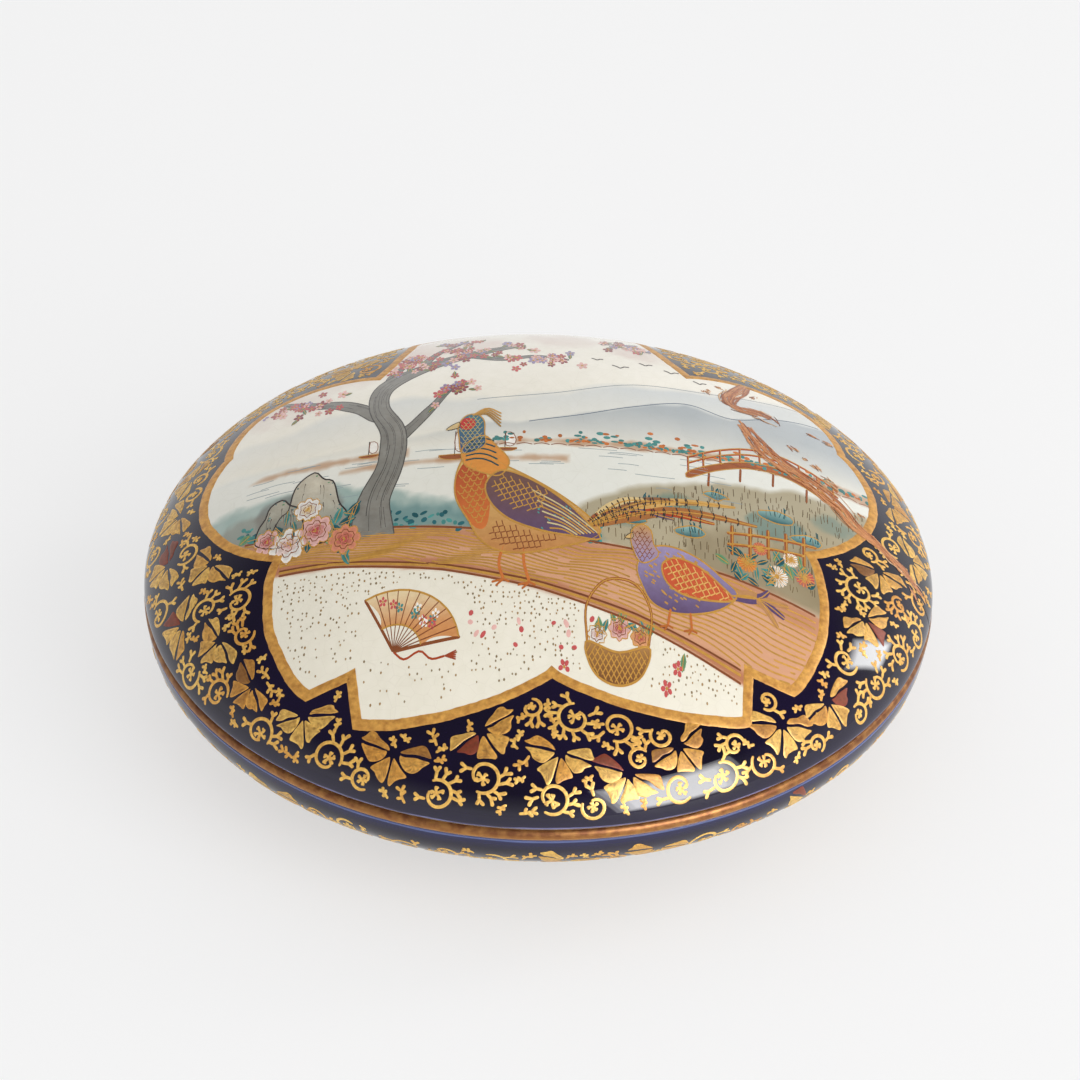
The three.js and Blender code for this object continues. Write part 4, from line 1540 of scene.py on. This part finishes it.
for k in range(13):
    share, reach = art_rng.uniform(0.08, 0.92), art_rng.uniform(0.55, 0.88)
    ray = np.array([np.interp(share, np.linspace(0, 1, FAN_STICKS), fan_rays[:, a]) for a in (0, 1)])
    blossom(*(FAN_PIVOT + ray * reach), 1.1, (ROSE, WHITE, TEAL)[k % 3], LINE_GOLD)
for ray in (fan_rays[0], fan_rays[-1]):
    line([FAN_PIVOT, FAN_PIVOT + ray * 1.02], 0.36, LINE_BROWN, 2)
line(FAN_PIVOT + [(0, 0), (1.6, -0.9), (3.8, -0.2), (5.4, -1.1), (7.4, -0.9)], 0.24, RUST)
for k in range(5):
    gold_line(FAN_PIVOT + [(7.4, -0.9), (9.0, -1.3 + 0.22 * k)], 0.16, RUST, 2)

# front: the plain ground stippled with fine dots, with fallen petals; and far birds in the sky
foot_x, foot_y = zip(*BANK_FOOT[::-1])
for y in np.arange(-29, -11, 0.62):
    for x in np.arange(-38, 38, 0.8):
        x, spot_y = x + art_rng.uniform(-0.3, 0.3), y + art_rng.uniform(-0.2, 0.2)
        below = float(np.interp(x, foot_x, foot_y)) - spot_y
        near_fan = ((x - FAN_PIVOT[0] - 3) / 8.5) ** 2 + ((spot_y - FAN_PIVOT[1] - 3) / 4.6) ** 2 < 1
        near_basket = ((x - BASKET[0]) / 6) ** 2 + ((spot_y - BASKET[1] - 3) / 6) ** 2 < 1
        if below <= 0.5 or near_fan or near_basket:
            continue
        if art_rng.random() < 0.2 + 0.8 * math.exp(-below / 6) and within(x, spot_y, 1.4):
            reach = art_rng.uniform(0.1, 0.17)
            dot = arc((x, spot_y), (reach, reach), 0, 288, 4)
            tone = (paint(150, 130, 92), paint(178, 144, 92))[art_rng.integers(2)]
            gilding.patch(picture, dot, tone, None, DOT_LIFT, ENAMEL_BASE)
for _ in range(16):
    x, y = art_rng.uniform(-10, 8), art_rng.uniform(-24, -19.4)
    if float(np.interp(x, foot_x, foot_y)) - y > 1.2:
        length, width = art_rng.uniform(0.7, 1.1), art_rng.uniform(0.45, 0.7)
        heading = art_rng.uniform(0, 180)
        dab(x, y, length, width, heading, (ROSE, PALE_ROSE)[art_rng.integers(2)])
for x, y, size in (
    (12, 19.5, 1.0), (16, 21.0, 0.8), (20, 19.8, 0.9), (8.4, 21.2, 0.7), (24.4, 18.2, 0.8),
):
    for wing in ([(-1.3, 0.5), (-0.5, 0.2), (0, -0.2)], [(0, -0.2), (0.6, 0.3), (1.4, 0.3)]):
        gold_line(np.array(wing) * size + (x, y), 0.24, INK * 1.6, 3)

enamel_material = painted("overglaze_enamel", 0.2, 0.0, 1.1, 0.25, 0.02)
enamel.finish("panel_enamels", "lid", "enamel", enamel_material)
gold_lines = painted("gold_lines", 0.34, 0.16, 0.9, 0.35, 0.02)
gilding.finish("panel_gold_lines", "lid", "gilding", gold_lines)


# An old break in the lid, closed with brown lacquer: it was drawn along the crack in many strands, which
# thin out past the panel's border, and touches of it lie beside. A dark hairline runs on to the rim.
MEND_PATH = [
    (30.4, 19.0), (32.1, 14.2), (33.9, 10.6), (36.2, 7.9), (39.2, 5.9), (42.6, 3.0), (45.3, 0.4),
    (47.3, -2.5), (49.8, -4.1), (52.2, -5.7), (54.4, -7.0), (56.3, -8.4), (58.3, -9.2),
]
MEND_REACHES = (0.9, 1.5, 1.8, 1.75, 1.6, 1.6, 1.5, 1.3, 0.95, 0.65, 0.5, 0.4, 0.2)
UPPER_PATH = [
    (31.9, 33.5), (30.6, 29.6), (29.2, 26.2), (29.2, 23.6), (30.8, 22.4), (33.0, 22.4), (34.8, 21.6),
    (36.6, 19.9),
]
UPPER_REACHES = (1.3, 1.8, 1.4, 1.0, 1.1, 1.4, 1.5, 0.7)
MEND_BASE, MEND_LIFT, MEND_STEP = 0.07, 0.094, 0.5
LACQUERS = (
    paint(196, 120, 66), paint(216, 148, 92), paint(172, 98, 50),
    paint(236, 196, 150), paint(132, 72, 36), paint(226, 172, 122),
)
mend_rng = np.random.default_rng(17)
mend = Brushwork(lid_skin)


def strand(path, reaches, aside, width, tint, first, last):
    """A line of lacquer, aside of the path by a share of its reach, between two shares of its length."""
    curve = flow(path, 8)
    gone = np.linspace(0, 1, len(curve))
    side = sideways(curve)
    reach = np.interp(gone, np.linspace(0, 1, len(reaches)), reaches)
    knots = np.linspace(0, 1, len(curve) // 5)
    wander = np.interp(gone, knots, mend_rng.normal(0, 0.26, len(knots)))
    drawn = (curve + side * (aside * reach + wander)[:, None])[(gone >= first) & (gone <= last)]
    mend.stroke(plan, drawn, width, tint, MEND_LIFT, MEND_BASE, MEND_STEP)


for path, reaches, count in ((MEND_PATH, MEND_REACHES, 64), (UPPER_PATH, UPPER_REACHES, 34)):
    for aside in np.linspace(-0.76, 0.76, 10):
        width, last = mend_rng.uniform(0.26, 0.44), mend_rng.uniform(0.7, 1)
        tint, first = LACQUERS[mend_rng.integers(3)], mend_rng.uniform(0, 0.06)
        strand(path, reaches, aside, width, tint, first, last)
    for _ in range(count):
        first = mend_rng.uniform(0, 0.86)
        width, last = mend_rng.uniform(0.1, 0.24), first + mend_rng.uniform(0.05, 0.22)
        aside, tint = mend_rng.uniform(-1.25, 1.25), LACQUERS[mend_rng.integers(6)]
        strand(path, reaches, aside, width, tint, first, last)
for x, y, length, width, lean in (
    (38.5, 13.4, 2.6, 0.9, -45), (41.9, 9.6, 2.2, 1.0, -60), (43.6, 6.8, 2.4, 1.3, -40),
    (44.8, 5.9, 2.2, 1.2, -35), (44.2, 19.6, 2.4, 1.0, -10), (41.6, 20.4, 2.0, 0.5, -10),
    (48.4, 0.8, 1.2, 0.8, -50), (25.3, 26.8, 1.6, 1.4, -60), (32.8, 28.6, 1.6, 0.8, 70),
    (40.2, 11.2, 1.0, 0.5, -50), (56.2, -10.6, 2.0, 0.4, -55), (27.4, 29.4, 1.4, 0.5, -20),
):
    for k in range(6):
        aside = turned_by([(mend_rng.normal(0, 0.16) * length, (k - 2.5) * 0.2 * width)], lean)[0]
        way = turned_by([(length * mend_rng.uniform(0.16, 0.46), 0)], lean + mend_rng.normal(0, 12))[0]
        middle = np.array((x, y)) + aside
        touch = [middle - way, middle, middle + way]
        tint = LACQUERS[mend_rng.integers(6)]
        mend.stroke(plan, touch, (0.12, 0.26, 0.1), tint, MEND_LIFT, MEND_BASE, MEND_STEP)
CRACK_PATH = [(51.6, -5.6), (53.8, -6.9), (56.0, -8.9), (57.4, -10.4), (58.6, -11.6), (59.3, -12.2)]
mend.stroke(plan, flow(CRACK_PATH, 6), 0.16, paint(30, 16, 14), MEND_LIFT + 0.003, MEND_BASE, MEND_STEP)
lacquer = painted("old_lacquer", 0.3, 0.0, 0.5, 0.6, 0.04)
mend.finish("lid_mend", "lid", "lid_glaze", lacquer)


# The table and light: a white table under a wide soft lamp at the front right and a narrow one at the
# right, with white surroundings near the horizon and a dim room above.
HALF_FLOOR = 4.0
BACKDROP_WHITE = (0.96, 0.96, 0.962)
TABLE_GLOW = 0.6  # how far the table is as white as the backdrop, whatever falls on it
floor_mesh = bpy.data.meshes.new("floor")
corners = [(x * HALF_FLOOR, y * HALF_FLOOR, 0) for x, y in ((-1, -1), (1, -1), (1, 1), (-1, 1))]
floor_mesh.from_pydata(corners, [], [(0, 1, 2, 3)])
floor = bpy.data.objects.new("floor", floor_mesh)
bpy.context.scene.collection.objects.link(floor)
table_white, table_shader, _ = finish("table_white", 0.6)
table_shader.inputs["Base Color"].default_value = (0.9, 0.9, 0.9, 1)
table_shader.inputs["Specular IOR Level"].default_value = 0.2
table = Wire(table_white.node_tree)
seen_directly = table.node("ShaderNodeLightPath")
glow = (seen_directly + seen_directly.beside("Is Glossy Ray")).between(0, 1) * TABLE_GLOW
plain = table.node("ShaderNodeEmission", {}, {0: (*BACKDROP_WHITE, 1), 1: 1.0})
lit = Wire(table.tree, table_shader.outputs[0])
blend = table.node("ShaderNodeMixShader", {}, {0: glow, 1: lit, 2: plain})
table.tree.links.new(blend.socket, table.tree.nodes["Material Output"].inputs["Surface"])
floor.data.materials.append(table_white)

world = bpy.data.worlds.new("studio")
bpy.context.scene.world = world
world.use_nodes = True
room = Wire(world.node_tree)
direction = room.node("ShaderNodeTexCoord", output=0)
rise = room.node("ShaderNodeSeparateXYZ", {}, {0: direction}, output=2)
surroundings = rise.between(0.62, 0.12).mix((0.12, 0.12, 0.12), (0.9, 0.9, 0.92))
seen = room.node("ShaderNodeLightPath")
around = seen.beside("Is Glossy Ray").mix((0.72, 0.72, 0.72), surroundings)
seen.mix(around, BACKDROP_WHITE).into(world.node_tree.nodes["Background"], "Color")

LAMP_DISTANCE = 1.2
SHINE_STEPS = 5  # lamps one behind another, each a little smaller, so that a reflection's edge is soft
SHINE_EDGE = 0.3  # the share of the width by which the last is smaller


def lamp(name, azimuth, elevation, distance, width, height, radiance, in_gloss):
    """A rectangular lamp that faces the box, and that either gloss alone or everything but gloss shows.

    The azimuth is in degrees from the front towards the right.
    """
    turn, lift = math.radians(azimuth), math.radians(elevation)
    away = Vector((math.sin(turn) * math.cos(lift), -math.cos(turn) * math.cos(lift), math.sin(lift)))
    data = bpy.data.lights.new(name, "AREA")
    data.shape = "RECTANGLE"
    data.size, data.size_y = width, height
    data.energy = radiance * math.pi * width * height
    item = bpy.data.objects.new(name, data)
    item.location = AIM + away * distance
    item.rotation_euler = away.to_track_quat("Z", "Y").to_euler()
    item.visible_diffuse, item.visible_glossy = not in_gloss, in_gloss
    bpy.context.scene.collection.objects.link(item)


def shine(name, azimuth, elevation, width, height, radiance):
    """A lamp's reflection with a soft edge."""
    for step in range(SHINE_STEPS):
        scale = 1 - SHINE_EDGE * step / (SHINE_STEPS - 1)
        distance = LAMP_DISTANCE * (1 + 0.01 * step)
        level = radiance / SHINE_STEPS
        lamp(f"{name}_{step}", azimuth, elevation, distance, width * scale, height * scale, level, True)


lamp("front_lamp", 48, 23, LAMP_DISTANCE, 0.86, 0.84, 3.5, False)
shine("front_shine", 38, 22, 0.78, 0.84, 14.5)
lamp("side_lamp", 115, 23, LAMP_DISTANCE, 0.25, 0.55, 4, False)
shine("side_shine", 111, 22, 0.2, 0.4, 13.5)

bpy.context.scene.view_settings.view_transform = "Standard"
